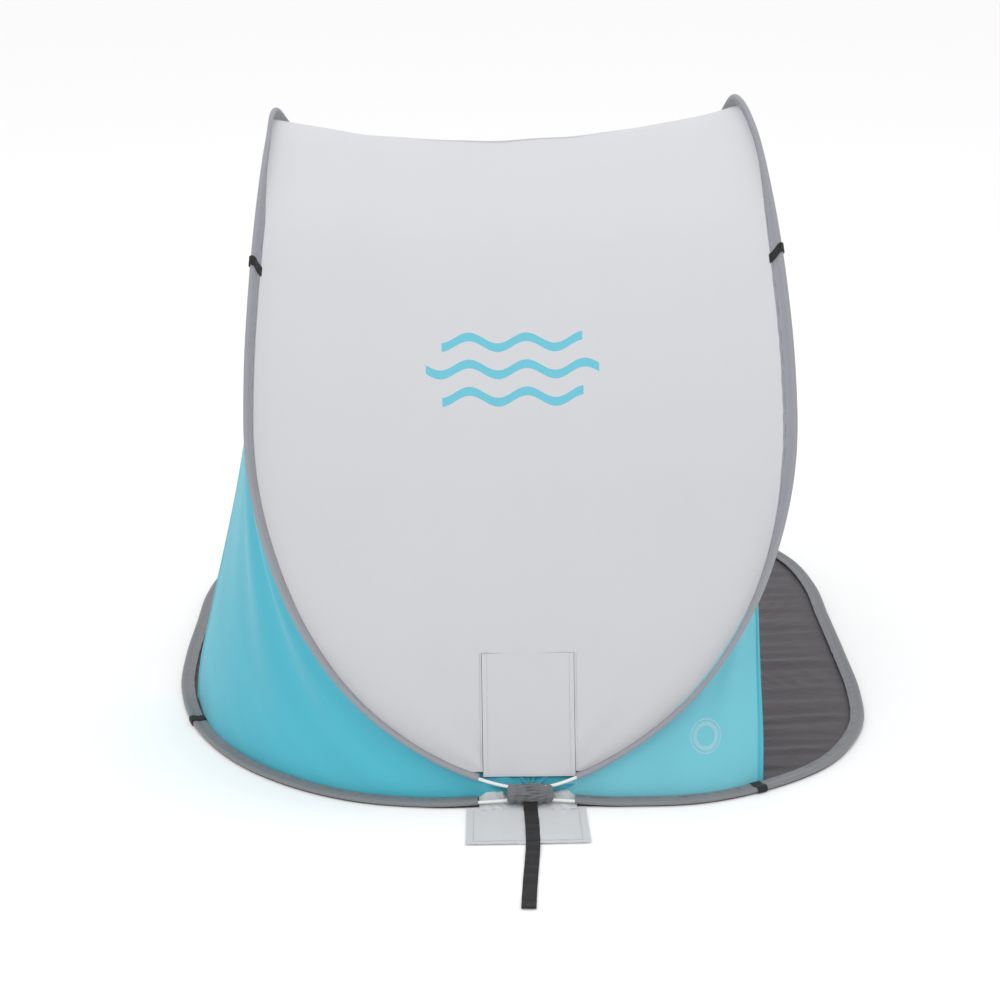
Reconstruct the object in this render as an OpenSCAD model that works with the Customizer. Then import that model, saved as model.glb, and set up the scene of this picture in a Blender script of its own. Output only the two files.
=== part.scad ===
// Pop-up beach shelter: a floor hoop and a canopy hoop of fibreglass rod that cross at one hub.
// The hub is at the back, the open side faces +Y, and the groundsheet lies on z = 0.

/* [Frame] */
// Diameter of the fibreglass rod
rod_d = 6; // [5:0.5:6.5]
// Wall of the steel ferrules that join the rod ends
ferrule_wall = 0.9; // [0.6:0.1:1]
// Length of a ferrule, measured along the hoop
ferrule_len = 60; // [50:5:70]

/* [Sleeves] */
// Width of the rod sleeve, from its outer fold to its stitched inner edge
sleeve_w = 28; // [24:1:30]
// Thickness of the sleeve over the rod
sleeve_t = 9; // [8.6:0.2:10]

/* [Fabric] */
// Thickness that every fabric panel is drawn with
cloth_t = 1; // [0.8:0.1:1.2]
// How far the canopy panel dips between its two sides
canopy_dip = 100; // [60:5:110]
// Half of the width of the free tongue over the hub
tongue_half_w = 88; // [80:1:94]
// Width of each slit beside the tongue
slit_w = 4; // [2:0.5:5]

/* [Walls] */
// Place of the left wall's foot along the floor hoop
left_wall_foot = 0.408; // [0.38:0.002:0.44]
// Place of the right wall's foot along the floor hoop
right_wall_foot = 0.248; // [0.23:0.002:0.27]
// How far the free edges of the walls curve in
wall_edge_curve = 30; // [0:5:40]

/* [Hub] */
// Length of the gathered wrap over the crossing rods
wrap_len = 84; // [76:2:88]
// Largest radius of the wrap
wrap_r = 19.5; // [18.5:0.25:20]
// Width of the webbing
webbing_w = 26; // [24:1:28]
// Thickness of the webbing
webbing_t = 1.6; // [1.4:0.1:2]
// Width of the cover flap behind the hub
flap_w = 224; // [200:4:232]
// Depth of the cover flap
flap_d = 112; // [100:2:116]

/* [Hidden] */

// Half of each hoop's rod line, from the hub to the middle of the front
CANOPY = [
    [0, 2, 30], [110, 14, 54], [228, 36, 117], [330, 62, 207], [416, 98, 332],
    [471, 143, 469], [498, 190, 607], [500, 255, 750], [491, 345, 895], [476, 450, 1025],
    [458, 590, 1124], [436, 710, 1158], [412, 830, 1125], [350, 945, 1070],
    [240, 1030, 1010], [120, 1068, 972], [0, 1080, 960]
];
// The back of the floor hoop runs straighter on the right of the hub than on the left
FLOOR_RIGHT = [
    [0, -5, 14], [60, -8, 10], [180, -16, 6], [330, -9, 6], [470, 42, 6], [590, 127, 6],
    [668, 256, 6], [692, 400, 6], [693, 580, 6], [690, 760, 6], [687, 920, 6],
    [655, 1070, 6], [570, 1200, 6], [440, 1270, 6], [240, 1300, 6], [0, 1306, 6]
];
FLOOR_LEFT = [
    [0, -5, 14], [60, -8, 10], [180, -8, 6], [320, 18, 6], [450, 82, 6], [560, 178, 6],
    [645, 312, 6], [688, 462, 6], [698, 610, 6], [694, 780, 6], [688, 930, 6],
    [655, 1070, 6], [570, 1200, 6], [440, 1270, 6], [240, 1300, 6], [0, 1306, 6]
];
// Points that each hoop's fabric pulls towards
CANOPY_CENTRE = [0, 420, 640];
FLOOR_CENTRE = [0, 650, 6];

rod_r = rod_d / 2;
rod_end_gap = 0.0003;             // half of the gap between two rod ends in a ferrule, as a place
rod_sides = 8;
fit_gap = 0.5;                    // between a sleeve or band and what it surrounds
ferrule_fit = 0.1;                // between a rod and its ferrule
ferrule_rings = 3;                // rings of a ferrule on each side of the joint
sleeve_bore_r = rod_r + ferrule_fit + ferrule_wall + 0.4;
section_steps = 12;
band_rings = 3;
canopy_rings = 48;                // rings over a whole half hoop
floor_rings = 56;
horn = 11 / 16;                   // place of the horn, where the canopy bends forward
horn_gap = 0.0014;                // half of the gap between the canopy's and the visor's rods
horn_sleeve_gap = 0.0021;         // and between their sleeves, so that the visor can turn
sleeve_start = 0.055;             // place where a sleeve begins beside the hub
floor_sleeve_start = 0.115;
sleeve_end = 0.9995;              // place where a sleeve meets its mirror image
visor_edge = 0.965;               // place of the visor panel's front edge
seam_gap = 0.0015;                // between two panels along a seam, as a place
loop_place = 0.54;                // place of the webbing bands on the canopy sleeves
canopy_band_half = 0.0045;        // half the width of a band, as a place
floor_band_half = 0.006;
tongue_top = 0.215;               // place of the tongue's sewn top edge
tongue_foot = 0.03;               // place of the tongue's free hem
panel_foot = 0.06;                // place where the side strips of the panel end
panel_inset = sleeve_w - sleeve_t / 2 + fit_gap;
tangent_step = 0.002;
last_side_view_t = 0.985;         // the side view's direction is kept beyond this place
corner_pull = 30;                 // how closely a wall's correction keeps to its rear corner
row_crowding = 1.6;               // how much closer a wall's rows stand near the floor

wrap_z = 22.5;
wrap_canopy_bore = [2, 30];       // [y, z] of the bore that the canopy's rods turn in
wrap_canopy_bore_r = 8.6;
wrap_floor_bore = [-6, 12.5];
wrap_floor_bore_r = 6;
band_r = wrap_r + 0.5;
flap_hinge_y = -30;
flap_t = 1.2;
sheet_t = 1.2;                    // groundsheet
sheet_margin = 2;                 // groundsheet beyond the rod line
above_sheet = 1.3;                // height that the floor hoop's bands come down to

// ---- Curves -------------------------------------------------------------------------------

function flip_x(p) = [-p.x, p.y, p.z];
function unit(v) = v / norm(v);
function square_to(v, t) = unit(v - t * (v * t));
function mix(a, b, k) = a * (1 - k) + b * k;

// Smooth curve through the points of a half hoop, for t from 0 at the hub to 1 at the front
function along(pts, t) =
    let (
        last = len(pts) - 1,
        k = min(floor(t * last), last - 1),
        u = t * last - k,
        a = k > 0 ? pts[k - 1] : flip_x(pts[1]),
        b = pts[k],
        c = pts[k + 1],
        d = k < last - 1 ? pts[k + 2] : flip_x(pts[last - 1])
    )
    0.5 * (2 * b + (c - a) * u + (2 * a - 5 * b + 4 * c - d) * u * u
           + (3 * b - 3 * c + d - a) * u * u * u);

function tangent(pts, t) =
    t < tangent_step ? [1, 0, 0]
    : t > 1 - tangent_step ? [-1, 0, 0]
    : unit(along(pts, t + tangent_step) - along(pts, t - tangent_step));

// Frame on a hoop: [point, direction into the fabric, direction out of the shelter]
function frame_at(pts, centre, t) =
    let (p = along(pts, t), dir = tangent(pts, t), inward = square_to(centre - p, dir))
    [p, inward, cross(dir, inward)];

function place(frame, uv) = frame[0] + frame[1] * uv.x + frame[2] * uv.y;

// ---- Swept solids -------------------------------------------------------------------------

function circle_section(r, n) =
    [for (k = [0:n - 1]) let (a = 180 + k * 360 / n) r * [cos(a), sin(a)]];

// A sleeve's outline: round over the rod, thinning to the stitched inner edge
function sleeve_section(grow = 0) =
    let (r = sleeve_t / 2 + grow, tail = sleeve_w - sleeve_t / 2 + grow)
    [
        [-r, 0], [-0.87 * r, -0.5 * r], [-0.5 * r, -0.87 * r], [0, -r],
        [tail * 0.3, -0.82 * r], [tail * 0.66, -0.42 * r - grow / 2], [tail, 0],
        [tail * 0.66, 0.42 * r + grow / 2], [tail * 0.3, 0.82 * r], [0, r],
        [-0.5 * r, 0.87 * r], [-0.87 * r, 0.5 * r]
    ];

function steps(t0, t1, rings) = [for (i = [0:rings]) mix(t0, t1, i / rings)];

function rings_of(pts, centre, ts, section) =
    [for (t = ts) let (f = frame_at(pts, centre, t)) for (uv = section) place(f, uv)];

function quad(a, b, c, d) = [[a, b, c], [a, c, d]];

module solid_sweep(pts, centre, ts, section) {
    n = len(section);
    last = len(ts) - 1;
    faces = [
        [for (k = [0:n - 1]) k],
        [for (k = [n - 1:-1:0]) last * n + k],
        for (i = [0:last - 1], k = [0:n - 1])
            let (m = (k + 1) % n)
            each quad(i * n + k, (i + 1) * n + k, (i + 1) * n + m, i * n + m)
    ];
    polyhedron(rings_of(pts, centre, ts, section), faces, convexity = 6);
}

// Faces of a tube of rings with n points, whose inner points follow all the outer ones
function tube_faces(n, last) =
    let (h = (last + 1) * n, e = last * n)
    [
        for (i = [0:last - 1], k = [0:n - 1])
            let (m = (k + 1) % n, a = i * n, b = (i + 1) * n)
            each concat(quad(a + k, b + k, b + m, a + m),
                        quad(h + a + k, h + a + m, h + b + m, h + b + k)),
        for (k = [0:n - 1])
            let (m = (k + 1) % n)
            each concat(quad(k, m, h + m, h + k), quad(e + k, h + e + k, h + e + m, e + m))
    ];

module hollow_sweep(pts, centre, ts, outer, inner) {
    polyhedron(concat(rings_of(pts, centre, ts, outer), rings_of(pts, centre, ts, inner)),
               tube_faces(len(outer), len(ts) - 1), convexity = 8);
}

function sorted(list) =
    len(list) < 2 ? list
    : let (pivot = list[floor(len(list) / 2)])
      concat(sorted([for (x = list) if (x < pivot) x]), [pivot],
             sorted([for (x = list) if (x > pivot) x]));

// Half of a ferrule's length, as a place on its hoop
function ferrule_share(pts, at_front) =
    let (
        probe = 0.01,
        end = at_front ? 1 : 0,
        near_end = at_front ? 1 - probe : probe
    )
    probe * ferrule_len / 2 / norm(along(pts, near_end) - along(pts, end));

// Places of the rings of both ferrules and of the band at band_t on a half hoop
function fitting_places(pts, band_t, band_half) =
    let (rear = ferrule_share(pts, false), front = ferrule_share(pts, true))
    concat([for (k = [1:ferrule_rings]) rear * k / ferrule_rings],
           [for (k = [1:ferrule_rings]) 1 - front * k / ferrule_rings],
           steps(band_t - band_half, band_t + band_half, band_rings));

// Places to cut a half hoop at: one shared spacing, and the rings of its fittings, so that rod,
// sleeve and fittings follow each other
function shared_steps(t0, t1, rings, fittings) =
    let (
        margin = 0.2 / rings,
        fixed = concat([t0], [for (t = fittings) if (t > t0 && t < t1) t], [t1])
    )
    sorted(concat(fixed, [
        for (i = [0:rings])
            let (t = i / rings)
            if (t > t0 && t < t1 && min([for (f = fixed) abs(t - f)]) > margin) t
    ]));

module rod(pts, centre, t0, t1, rings, fittings) {
    solid_sweep(pts, centre, shared_steps(t0, t1, rings, fittings),
                circle_section(rod_r, rod_sides));
}

module sleeve(pts, centre, t0, t1, rings, fittings) {
    hollow_sweep(pts, centre, shared_steps(t0, t1, rings, fittings), sleeve_section(),
                 circle_section(sleeve_bore_r, section_steps));
}

// A webbing band around a sleeve
module band(pts, centre, t_mid, half_len) {
    hollow_sweep(pts, centre, steps(t_mid - half_len, t_mid + half_len, band_rings),
                 sleeve_section(fit_gap + webbing_t), sleeve_section(fit_gap));
}

// A tube over the joint of two rods, where the right half hoop meets the left one
module ferrule(right, left, centre, at_front) {
    share = ferrule_share(right, at_front);
    bore_r = (rod_r + ferrule_fit) / cos(180 / section_steps);
    // The left half comes first at the rear and last at the front
    places = [for (k = [-ferrule_rings:ferrule_rings]) k / ferrule_rings * share];
    function ring(section) = [
        for (k = places)
            let (
                on_left = at_front ? k > 0 : k < 0,
                f = frame_at(on_left ? left : right, centre, at_front ? 1 - abs(k) : abs(k))
            )
            for (uv = section)
                on_left ? flip_x(place(f, uv)) : place(f, uv)
    ];
    polyhedron(
        concat(ring(circle_section(rod_r + ferrule_fit + ferrule_wall, section_steps)),
               ring(circle_section(bore_r, section_steps))),
        tube_faces(section_steps, 2 * ferrule_rings), convexity = 6
    );
}

// ---- Fabric -------------------------------------------------------------------------------

// A closed thin solid between two grids of points, without the cells that keep() leaves out
module cloth(outer, inner, cut_rows = 0, cut_from = 0, cut_to = 0) {
    rows = len(outer) - 1;
    cols = len(outer[0]) - 1;
    w = cols + 1;
    h = (rows + 1) * w;
    function keep(i, j) = i >= 0 && j >= 0 && i < rows && j < cols
        && !(i < cut_rows && j >= cut_from && j < cut_to);
    faces = [
        for (i = [0:rows - 1], j = [0:cols - 1]) if (keep(i, j))
            let (a = i * w + j, b = a + 1, c = a + w + 1, d = a + w)
            each concat(
                quad(a, d, c, b),
                quad(h + a, h + b, h + c, h + d),
                keep(i, j - 1) ? [] : quad(h + a, h + d, d, a),
                keep(i, j + 1) ? [] : quad(b, c, h + c, h + b),
                keep(i - 1, j) ? [] : quad(a, b, h + b, h + a),
                keep(i + 1, j) ? [] : quad(c, d, h + d, h + c)
            )
    ];
    polyhedron(concat([for (row = outer) each row], [for (row = inner) each row]), faces,
               convexity = 8);
}

// Direction into the shelter, square to the hoop in the side view
function inside(t) =
    let (dir = tangent(CANOPY, min(t, last_side_view_t)))
    unit([0, dir.z, -dir.y]);

// Point of the canopy's middle surface at place t and sideways place x
function canopy_point(t, x) =
    let (
        f = frame_at(CANOPY, CANOPY_CENTRE, t),
        edge = f[0] + f[1] * panel_inset,
        k = x / edge.x,
        dip = canopy_dip * pow(sin(180 * t), 2) * (1 - k * k)
    )
    [x, edge.y, edge.z] + inside(t) * dip;

function canopy_edge_x(t) =
    let (f = frame_at(CANOPY, CANOPY_CENTRE, t))
    (f[0] + f[1] * panel_inset).x;

function panel_columns(t, from, n_side, n_mid) =
    let (edge = canopy_edge_x(t))
    concat(
        [for (j = [0:n_side - 1]) mix(-edge, -from, j / n_side)],
        [for (j = [0:n_mid - 1]) mix(-from, from, j / n_mid)],
        [for (j = [0:n_side]) mix(from, edge, j / n_side)]
    );

// Four-sided patch at u and v: bottom and top are [start, point at u, end] of their curves,
// and left and right are the points at v of the curves that join them
function patch(bottom, top, left, right, u, v) =
    mix(bottom[1], top[1], v) + mix(left, right, u)
    - mix(mix(bottom[0], bottom[2], u), mix(top[0], top[2], u), v);

// ---- Parts --------------------------------------------------------------------------------

module floor_rod(pts, foot) {
    color("whitesmoke") rod(pts, FLOOR_CENTRE, rod_end_gap, 1 - rod_end_gap, floor_rings,
                            fitting_places(pts, foot, floor_band_half));
}

module floor_ferrule(at_front) {
    color("silver") ferrule(FLOOR_RIGHT, FLOOR_LEFT, FLOOR_CENTRE, at_front);
}

module canopy_ferrule(at_front) {
    color("silver") ferrule(CANOPY, CANOPY, CANOPY_CENTRE, at_front);
}

// A length of the canopy hoop's rod, and of its sleeve, between two places
module canopy_length(from, to) {
    color("whitesmoke") rod(CANOPY, CANOPY_CENTRE, from, to, canopy_rings,
                            fitting_places(CANOPY, loop_place, canopy_band_half));
}

module canopy_sleeve_length(from, to) {
    color("darkgray") sleeve(CANOPY, CANOPY_CENTRE, from, to, canopy_rings,
                             fitting_places(CANOPY, loop_place, canopy_band_half));
}

module canopy_rod() {
    canopy_length(rod_end_gap, horn - horn_gap);
}

module visor_rod() {
    canopy_length(horn + horn_gap, 1 - rod_end_gap);
}

module floor_sleeve(pts, foot) {
    color("darkgray") sleeve(pts, FLOOR_CENTRE, floor_sleeve_start, sleeve_end, floor_rings,
                             fitting_places(pts, foot, floor_band_half));
}

module canopy_sleeve() {
    canopy_sleeve_length(sleeve_start, horn - horn_sleeve_gap);
}

module visor_sleeve() {
    canopy_sleeve_length(horn + horn_sleeve_gap, sleeve_end);
    mirror([1, 0, 0]) canopy_sleeve_length(horn + horn_sleeve_gap, sleeve_end);
}

function sheet_outline(pts, side) = [
    for (i = [0:floor_rings])
        let (f = frame_at(pts, FLOOR_CENTRE, i / floor_rings), p = f[0] - f[1] * sheet_margin)
        [side * p.x, p.y]
];

module groundsheet() {
    left_side = sheet_outline(FLOOR_LEFT, -1);
    color("dimgray") linear_extrude(sheet_t)
        polygon(concat(sheet_outline(FLOOR_RIGHT, 1),
                       [for (i = [floor_rings - 1:-1:1]) left_side[i]]));
}

module canopy_panel() {
    low_rows = 6;
    high_rows = 15;
    side_cols = 6;
    mid_cols = 6;
    ts = concat([for (i = [0:low_rows - 1]) mix(panel_foot, tongue_top, i / low_rows)],
                [for (i = [0:high_rows]) mix(tongue_top, horn - seam_gap, i / high_rows)]);
    function grid(off) = [
        for (t = ts) [
            for (x = panel_columns(t, tongue_half_w + slit_w, side_cols, mid_cols))
                canopy_point(t, x) - inside(t) * off
        ]
    ];
    color("gainsboro") cloth(grid(cloth_t / 2), grid(-cloth_t / 2), low_rows, side_cols,
                             side_cols + mid_cols);
}

module panel_tongue() {
    rows = 8;
    cols = 6;
    function grid(off) = [
        for (i = [0:rows]) let (t = mix(tongue_foot, tongue_top - seam_gap, i / rows)) [
            for (j = [0:cols])
                canopy_point(t, mix(-tongue_half_w, tongue_half_w, j / cols)) - inside(t) * off
        ]
    ];
    color("gainsboro") cloth(grid(cloth_t / 2), grid(-cloth_t / 2));
}

module visor_panel() {
    rows = 11;
    function grid(off) = [
        for (i = [0:rows]) let (t = mix(horn + seam_gap, visor_edge, i / rows)) [
            for (x = panel_columns(t, canopy_edge_x(t) / 3, 5, 5))
                canopy_point(t, x) - inside(t) * off
        ]
    ];
    color("gainsboro") cloth(grid(cloth_t / 2), grid(-cloth_t / 2));
}

// A side wall between the canopy hoop, the floor hoop from the hub to foot, and a free edge
module wall(pts, foot, floor_start = 0.115, canopy_start = 0.075, head = 0.63, head_len = 0.03) {
    rows = 18;
    cols = 10;
    behind_sleeve = [4, -8];
    clear_of_floor_sleeve = [27, -3];
    function canopy_side(t) = place(frame_at(CANOPY, CANOPY_CENTRE, t), behind_sleeve);
    function floor_side(t) = place(frame_at(pts, FLOOR_CENTRE, t), clear_of_floor_sleeve);
    corner = floor_side(floor_start);
    function bottom(u) = floor_side(mix(floor_start, foot, u));
    function top(u) = canopy_side(mix(head, head + head_len, u));
    function left(v) = canopy_side(mix(canopy_start, head, v))
        + pow(1 - v, corner_pull) * (corner - canopy_side(canopy_start));
    function right(v) = mix(bottom(1), top(1), v)
        + wall_edge_curve * sin(180 * v) * unit(left(v) - mix(bottom(1), top(1), v));
    function point(u, v) = patch([corner, bottom(u), bottom(1)], [top(0), top(u), top(1)],
                                 left(v), right(v), u, v);
    out = cloth_t * unit([0.7, -0.7, 0.15]);
    function grid(off) = [
        for (i = [0:rows])
            [for (j = [0:cols]) point(j / cols, pow(i / rows, row_crowding)) + off]
    ];
    color("turquoise") cloth(grid(out), grid([0, 0, 0]));
}

module rear_gusset() {
    rows = 6;
    cols = 10;
    // Side profile from the groundsheet up behind the tongue: [y, z, half width]
    profile = [[14, 3, 104], [22, 12, 100], [24, 26, 96], [31, 46, 92], [45, 80, 88],
               [62, 112, 84], [84, 150, 80]];
    function grid(off) = [
        for (p = profile) [for (j = [0:cols]) [mix(-p[2], p[2], j / cols), p[0] + off, p[1]]]
    ];
    color("deepskyblue") cloth(grid(0), grid(cloth_t));
}

module wrap_bore(centre, r) {
    translate([-wrap_len, centre.x, centre.y]) rotate([0, 90, 0])
        cylinder(r = r, h = 2 * wrap_len, $fn = 48);
}

module hub_wrap() {
    gathers = 7;
    half_l = wrap_len / 2;
    outline = concat(
        [[0, -half_l], [wrap_r - 6, -half_l]],
        [
            for (i = [1:2 * gathers - 1])
                [wrap_r - (i % 2 == 0 ? 1.6 : 0), mix(-half_l, half_l, i / (2 * gathers))]
        ],
        [[wrap_r - 6, half_l], [0, half_l]]
    );
    color("gray") difference() {
        translate([0, 0, wrap_z]) rotate([0, 90, 0]) rotate_extrude($fn = 48) polygon(outline);
        wrap_bore(wrap_canopy_bore, wrap_canopy_bore_r);
        wrap_bore(wrap_floor_bore, wrap_floor_bore_r);
    }
}

// A flat strip of webbing along a side profile of [y, z] points, centred on x = 0
module strip(profile, width, thick) {
    rotate([90, 0, 90]) linear_extrude(width, center = true)
        polygon(concat(profile, [for (i = [len(profile) - 1:-1:0]) profile[i] + [0, thick]]));
}

module strap_anchor() {
    color("black") {
        translate([-webbing_w / 2, 0, wrap_z]) rotate([0, 90, 0]) difference() {
            cylinder(r = band_r + webbing_t - 0.4, h = webbing_w, $fn = 64);
            translate([0, 0, -1]) cylinder(r = band_r, h = webbing_w + 2, $fn = 64);
        }
        strip([[-20.4, 13], [-23, 7], [-26.5, 3.6]], webbing_w, webbing_t);
    }
}

module fold_strap() {
    color("black") {
        // It lies over the cover flap, and on the ground beyond it
        strip([[-31, 1.9], [-184, 1.9], [-206, 0.6], [-311.5, 0.6]], webbing_w, webbing_t);
        // Folded and stitched end
        strip([[-312, 0.6], [-346, 0.6]], webbing_w, 2 * webbing_t);
    }
}

module hub_cover_flap() {
    color("lightgray") translate([-flap_w / 2, flap_hinge_y - flap_d, 0.3])
        cube([flap_w, flap_d, flap_t]);
}

module canopy_loop() {
    color("black") band(CANOPY, CANOPY_CENTRE, loop_place, canopy_band_half);
}

// The band is sewn down to the groundsheet, so it is open underneath
module floor_loop(pts, foot) {
    color("black") intersection() {
        band(pts, FLOOR_CENTRE, foot, floor_band_half);
        translate([0, -100, above_sheet]) cube([800, 1500, 40]);
    }
}

floor_rod(FLOOR_RIGHT, right_wall_foot);  // floor_rod_right
mirror([1, 0, 0]) floor_rod(FLOOR_LEFT, left_wall_foot);  // floor_rod_left
floor_ferrule(true);  // floor_ferrule_front
floor_ferrule(false);  // floor_ferrule_rear
canopy_rod();  // canopy_rod_right
mirror([1, 0, 0]) canopy_rod();  // canopy_rod_left
canopy_ferrule(false);  // canopy_ferrule_rear
visor_rod();  // visor_rod_right
mirror([1, 0, 0]) visor_rod();  // visor_rod_left
canopy_ferrule(true);  // visor_ferrule_front
floor_sleeve(FLOOR_RIGHT, right_wall_foot);  // floor_sleeve_right
mirror([1, 0, 0]) floor_sleeve(FLOOR_LEFT, left_wall_foot);  // floor_sleeve_left
canopy_sleeve();  // canopy_sleeve_right
mirror([1, 0, 0]) canopy_sleeve();  // canopy_sleeve_left
visor_sleeve();
groundsheet();
canopy_panel();
panel_tongue();
visor_panel();
mirror([1, 0, 0]) wall(FLOOR_LEFT, left_wall_foot);  // wall_left
wall(FLOOR_RIGHT, right_wall_foot);  // wall_right
rear_gusset();
hub_wrap();
strap_anchor();
fold_strap();
hub_cover_flap();
mirror([1, 0, 0]) canopy_loop();  // canopy_loop_left
canopy_loop();  // canopy_loop_right
mirror([1, 0, 0]) floor_loop(FLOOR_LEFT, left_wall_foot);  // floor_loop_left
floor_loop(FLOOR_RIGHT, right_wall_foot);  // floor_loop_right
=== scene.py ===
"""Pop-up beach shelter: fabric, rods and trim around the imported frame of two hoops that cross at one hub."""

import logging
import math
from collections.abc import Sequence
from dataclasses import dataclass, field
from enum import Enum
from typing import Any

import bmesh
import bpy
import numpy as np
from mathutils import Matrix, Vector


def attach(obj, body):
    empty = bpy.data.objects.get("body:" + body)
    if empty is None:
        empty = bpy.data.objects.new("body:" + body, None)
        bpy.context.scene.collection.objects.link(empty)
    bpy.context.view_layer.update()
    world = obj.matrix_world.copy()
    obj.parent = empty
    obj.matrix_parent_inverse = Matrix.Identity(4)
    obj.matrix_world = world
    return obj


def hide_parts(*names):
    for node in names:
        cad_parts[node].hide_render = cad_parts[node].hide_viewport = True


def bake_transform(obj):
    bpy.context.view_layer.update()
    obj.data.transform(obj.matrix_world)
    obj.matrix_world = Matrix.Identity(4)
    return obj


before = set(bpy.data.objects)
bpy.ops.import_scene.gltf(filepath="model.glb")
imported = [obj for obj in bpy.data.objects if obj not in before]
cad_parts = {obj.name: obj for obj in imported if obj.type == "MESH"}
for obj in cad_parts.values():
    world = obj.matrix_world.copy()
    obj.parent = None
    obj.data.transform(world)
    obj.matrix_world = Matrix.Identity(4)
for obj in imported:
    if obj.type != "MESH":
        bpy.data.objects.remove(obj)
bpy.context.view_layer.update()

LOG = logging.getLogger("shelter")
Array = np.ndarray
Piece = bpy.types.Object
Triple = tuple[float, float, float]

MM = 0.001
MIRROR = np.array((-1.0, 1.0, 1.0))
HORN = 11 / 16                    # place on the canopy hoop where it bends forward
SLEEVE_START = 0.052
FLOOR_SLEEVE_START = 0.086
PANEL_EDGE = 0.0190               # the panels are sewn in between the layers of a sleeve
TAIL_EDGE = 0.0222                # inner edge of a sleeve, from the rod line
ROD_R = 0.003
SLEEVE_R = 0.0044
HUB_SHIFT = 0.008                 # the gathered hub sits a little to the right of the middle
ROUND_HUB = 0.06                  # place on a hoop over which that shift fades
HOOP_HALF = 2.32                  # length of half a hoop
STEP = 0.002                      # place to each side that gives a hoop's direction
SLEEVE_GIRTH = 0.062              # cloth round a sleeve, laid flat
UP = np.array((0, 0, 1.0))

CANOPY_REAR = (
    (0, 2, 30), (110, 14, 54), (228, 36, 117), (330, 62, 207), (416, 98, 332), (471, 143, 469),
    (498, 190, 607), (500, 255, 750),
)
CANOPY_RIGHT_POINTS = (
    *CANOPY_REAR, (491, 345, 895), (476, 450, 1025), (460, 590, 1126), (436, 708, 1165),
    (412, 826, 1090), (350, 945, 1044), (240, 1030, 1000), (120, 1068, 970), (0, 1080, 960),
)
CANOPY_LEFT_POINTS = (
    *CANOPY_REAR, (492, 345, 895), (480, 450, 1025), (470, 590, 1116), (463, 706, 1149),
    (430, 822, 1078), (356, 945, 1040), (240, 1030, 1000), (120, 1068, 970), (0, 1080, 960),
)
# How far a sleeve leans into the shelter: place on the hoop, degrees
LEAN_RIGHT = (
    (0, 62), (0.1, 68), (0.2, 64), (0.27, 52), (0.31, 38), (0.36, 10), (0.42, 0), (0.5, 6), (0.55, 22),
    (0.6, 50), (0.69, 58), (0.8, 30), (1, 0),
)
LEAN_LEFT = (
    (0, 60), (0.1, 64), (0.2, 54), (0.27, 38), (0.42, 32), (0.5, 28), (0.55, 24), (0.6, 48), (0.69, 58),
    (0.8, 30), (1, 0),
)
FRONT_CORNER = (
    (655, 1070, 6), (570, 1200, 6), (440, 1270, 6), (240, 1300, 6), (0, 1306, 6),
)
FLOOR_RIGHT_POINTS = (
    (0, -5, 14), (60, -8, 10), (180, -16, 6), (330, -9, 6), (470, 42, 6), (590, 127, 6),
    (668, 256, 6), (692, 400, 6), (693, 580, 6), (690, 760, 6), (687, 920, 6), *FRONT_CORNER,
)
FLOOR_LEFT_POINTS = (
    (0, -5, 14), (60, -8, 10), (180, -8, 6), (320, 18, 6), (450, 82, 6), (560, 178, 6),
    (645, 312, 6), (688, 462, 6), (698, 610, 6), (694, 780, 6), (688, 930, 6), *FRONT_CORNER,
)


class Side(Enum):
    """Which half of the shelter a piece is on, as the sign of its X."""

    LEFT = -1
    RIGHT = 1


# ---- Curves ----------------------------------------------------------------------------------


def unit(v: Array) -> Array:
    """Vectors of length one."""
    return v / np.maximum(np.linalg.norm(v, axis=-1, keepdims=True), 1e-12)


def ease(x: Array | float) -> Array:
    """Zero below 0, one above 1, and a smooth step between."""
    x = np.clip(x, 0, 1)
    return x * x * (3 - 2 * x)


def bell(x: Array) -> Array:
    """A smooth hump: one at 0, fading past 1 on both sides."""
    return np.exp(-(x**2))


def run_along(line: Array) -> Array:
    """The distance run at each point of a line."""
    return np.concatenate([[0], np.cumsum(np.linalg.norm(np.diff(line, axis=0), axis=1))])


def read_at(at: Array, run: Array, line: Array) -> Array:
    """Points of a line at given distances run."""
    return np.stack([np.interp(at, run, column) for column in line.T], axis=1)


def paired(first: Array, second: Array) -> Array:
    """UV places from two coordinates, each spread over the other."""
    return np.stack(np.broadcast_arrays(first, second), axis=-1)


def ripples(x: Array, seed: int, waves: int = 7, spread: float = 3.0) -> Array:
    """Irregular waves along one coordinate, of about unit height and unit mean wavelength.

    Args:
        x: The coordinate, in mean wavelengths.
        seed: Chooses the waves.
        waves: How many are summed.
        spread: Ratio of the shortest to the longest wave's frequency.

    Returns:
        The height at each place.
    """
    draw = np.random.default_rng(seed)
    rate = np.exp(draw.uniform(-math.log(spread) / 2, math.log(spread) / 2, waves))
    phase = draw.uniform(0, 2 * math.pi, waves)
    return sum(np.sin(2 * math.pi * x * r + p) for r, p in zip(rate, phase)) / math.sqrt(waves / 2) / 1.6


def folds(u: Array, v: Array, seed: int, waves: int = 9, lean: float = 0.5) -> Array:
    """Irregular folds over a surface, which run mostly along v.

    Args:
        u: Coordinate across the folds, in mean fold widths.
        v: Coordinate along the folds, in the same unit.
        seed: Chooses the folds.
        waves: How many are summed.
        lean: Largest tangent of a fold's angle from v.

    Returns:
        The height at each place.
    """
    draw = np.random.default_rng(seed)
    total = np.zeros(np.broadcast(u, v).shape)
    for _ in range(waves):
        rate, slope, phase = draw.uniform(0.5, 1.7), draw.uniform(-lean, lean), draw.uniform(0, 6.283)
        total = total + np.sin(2 * math.pi * rate * (u + slope * v) + phase)
    return total / math.sqrt(waves)


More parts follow.
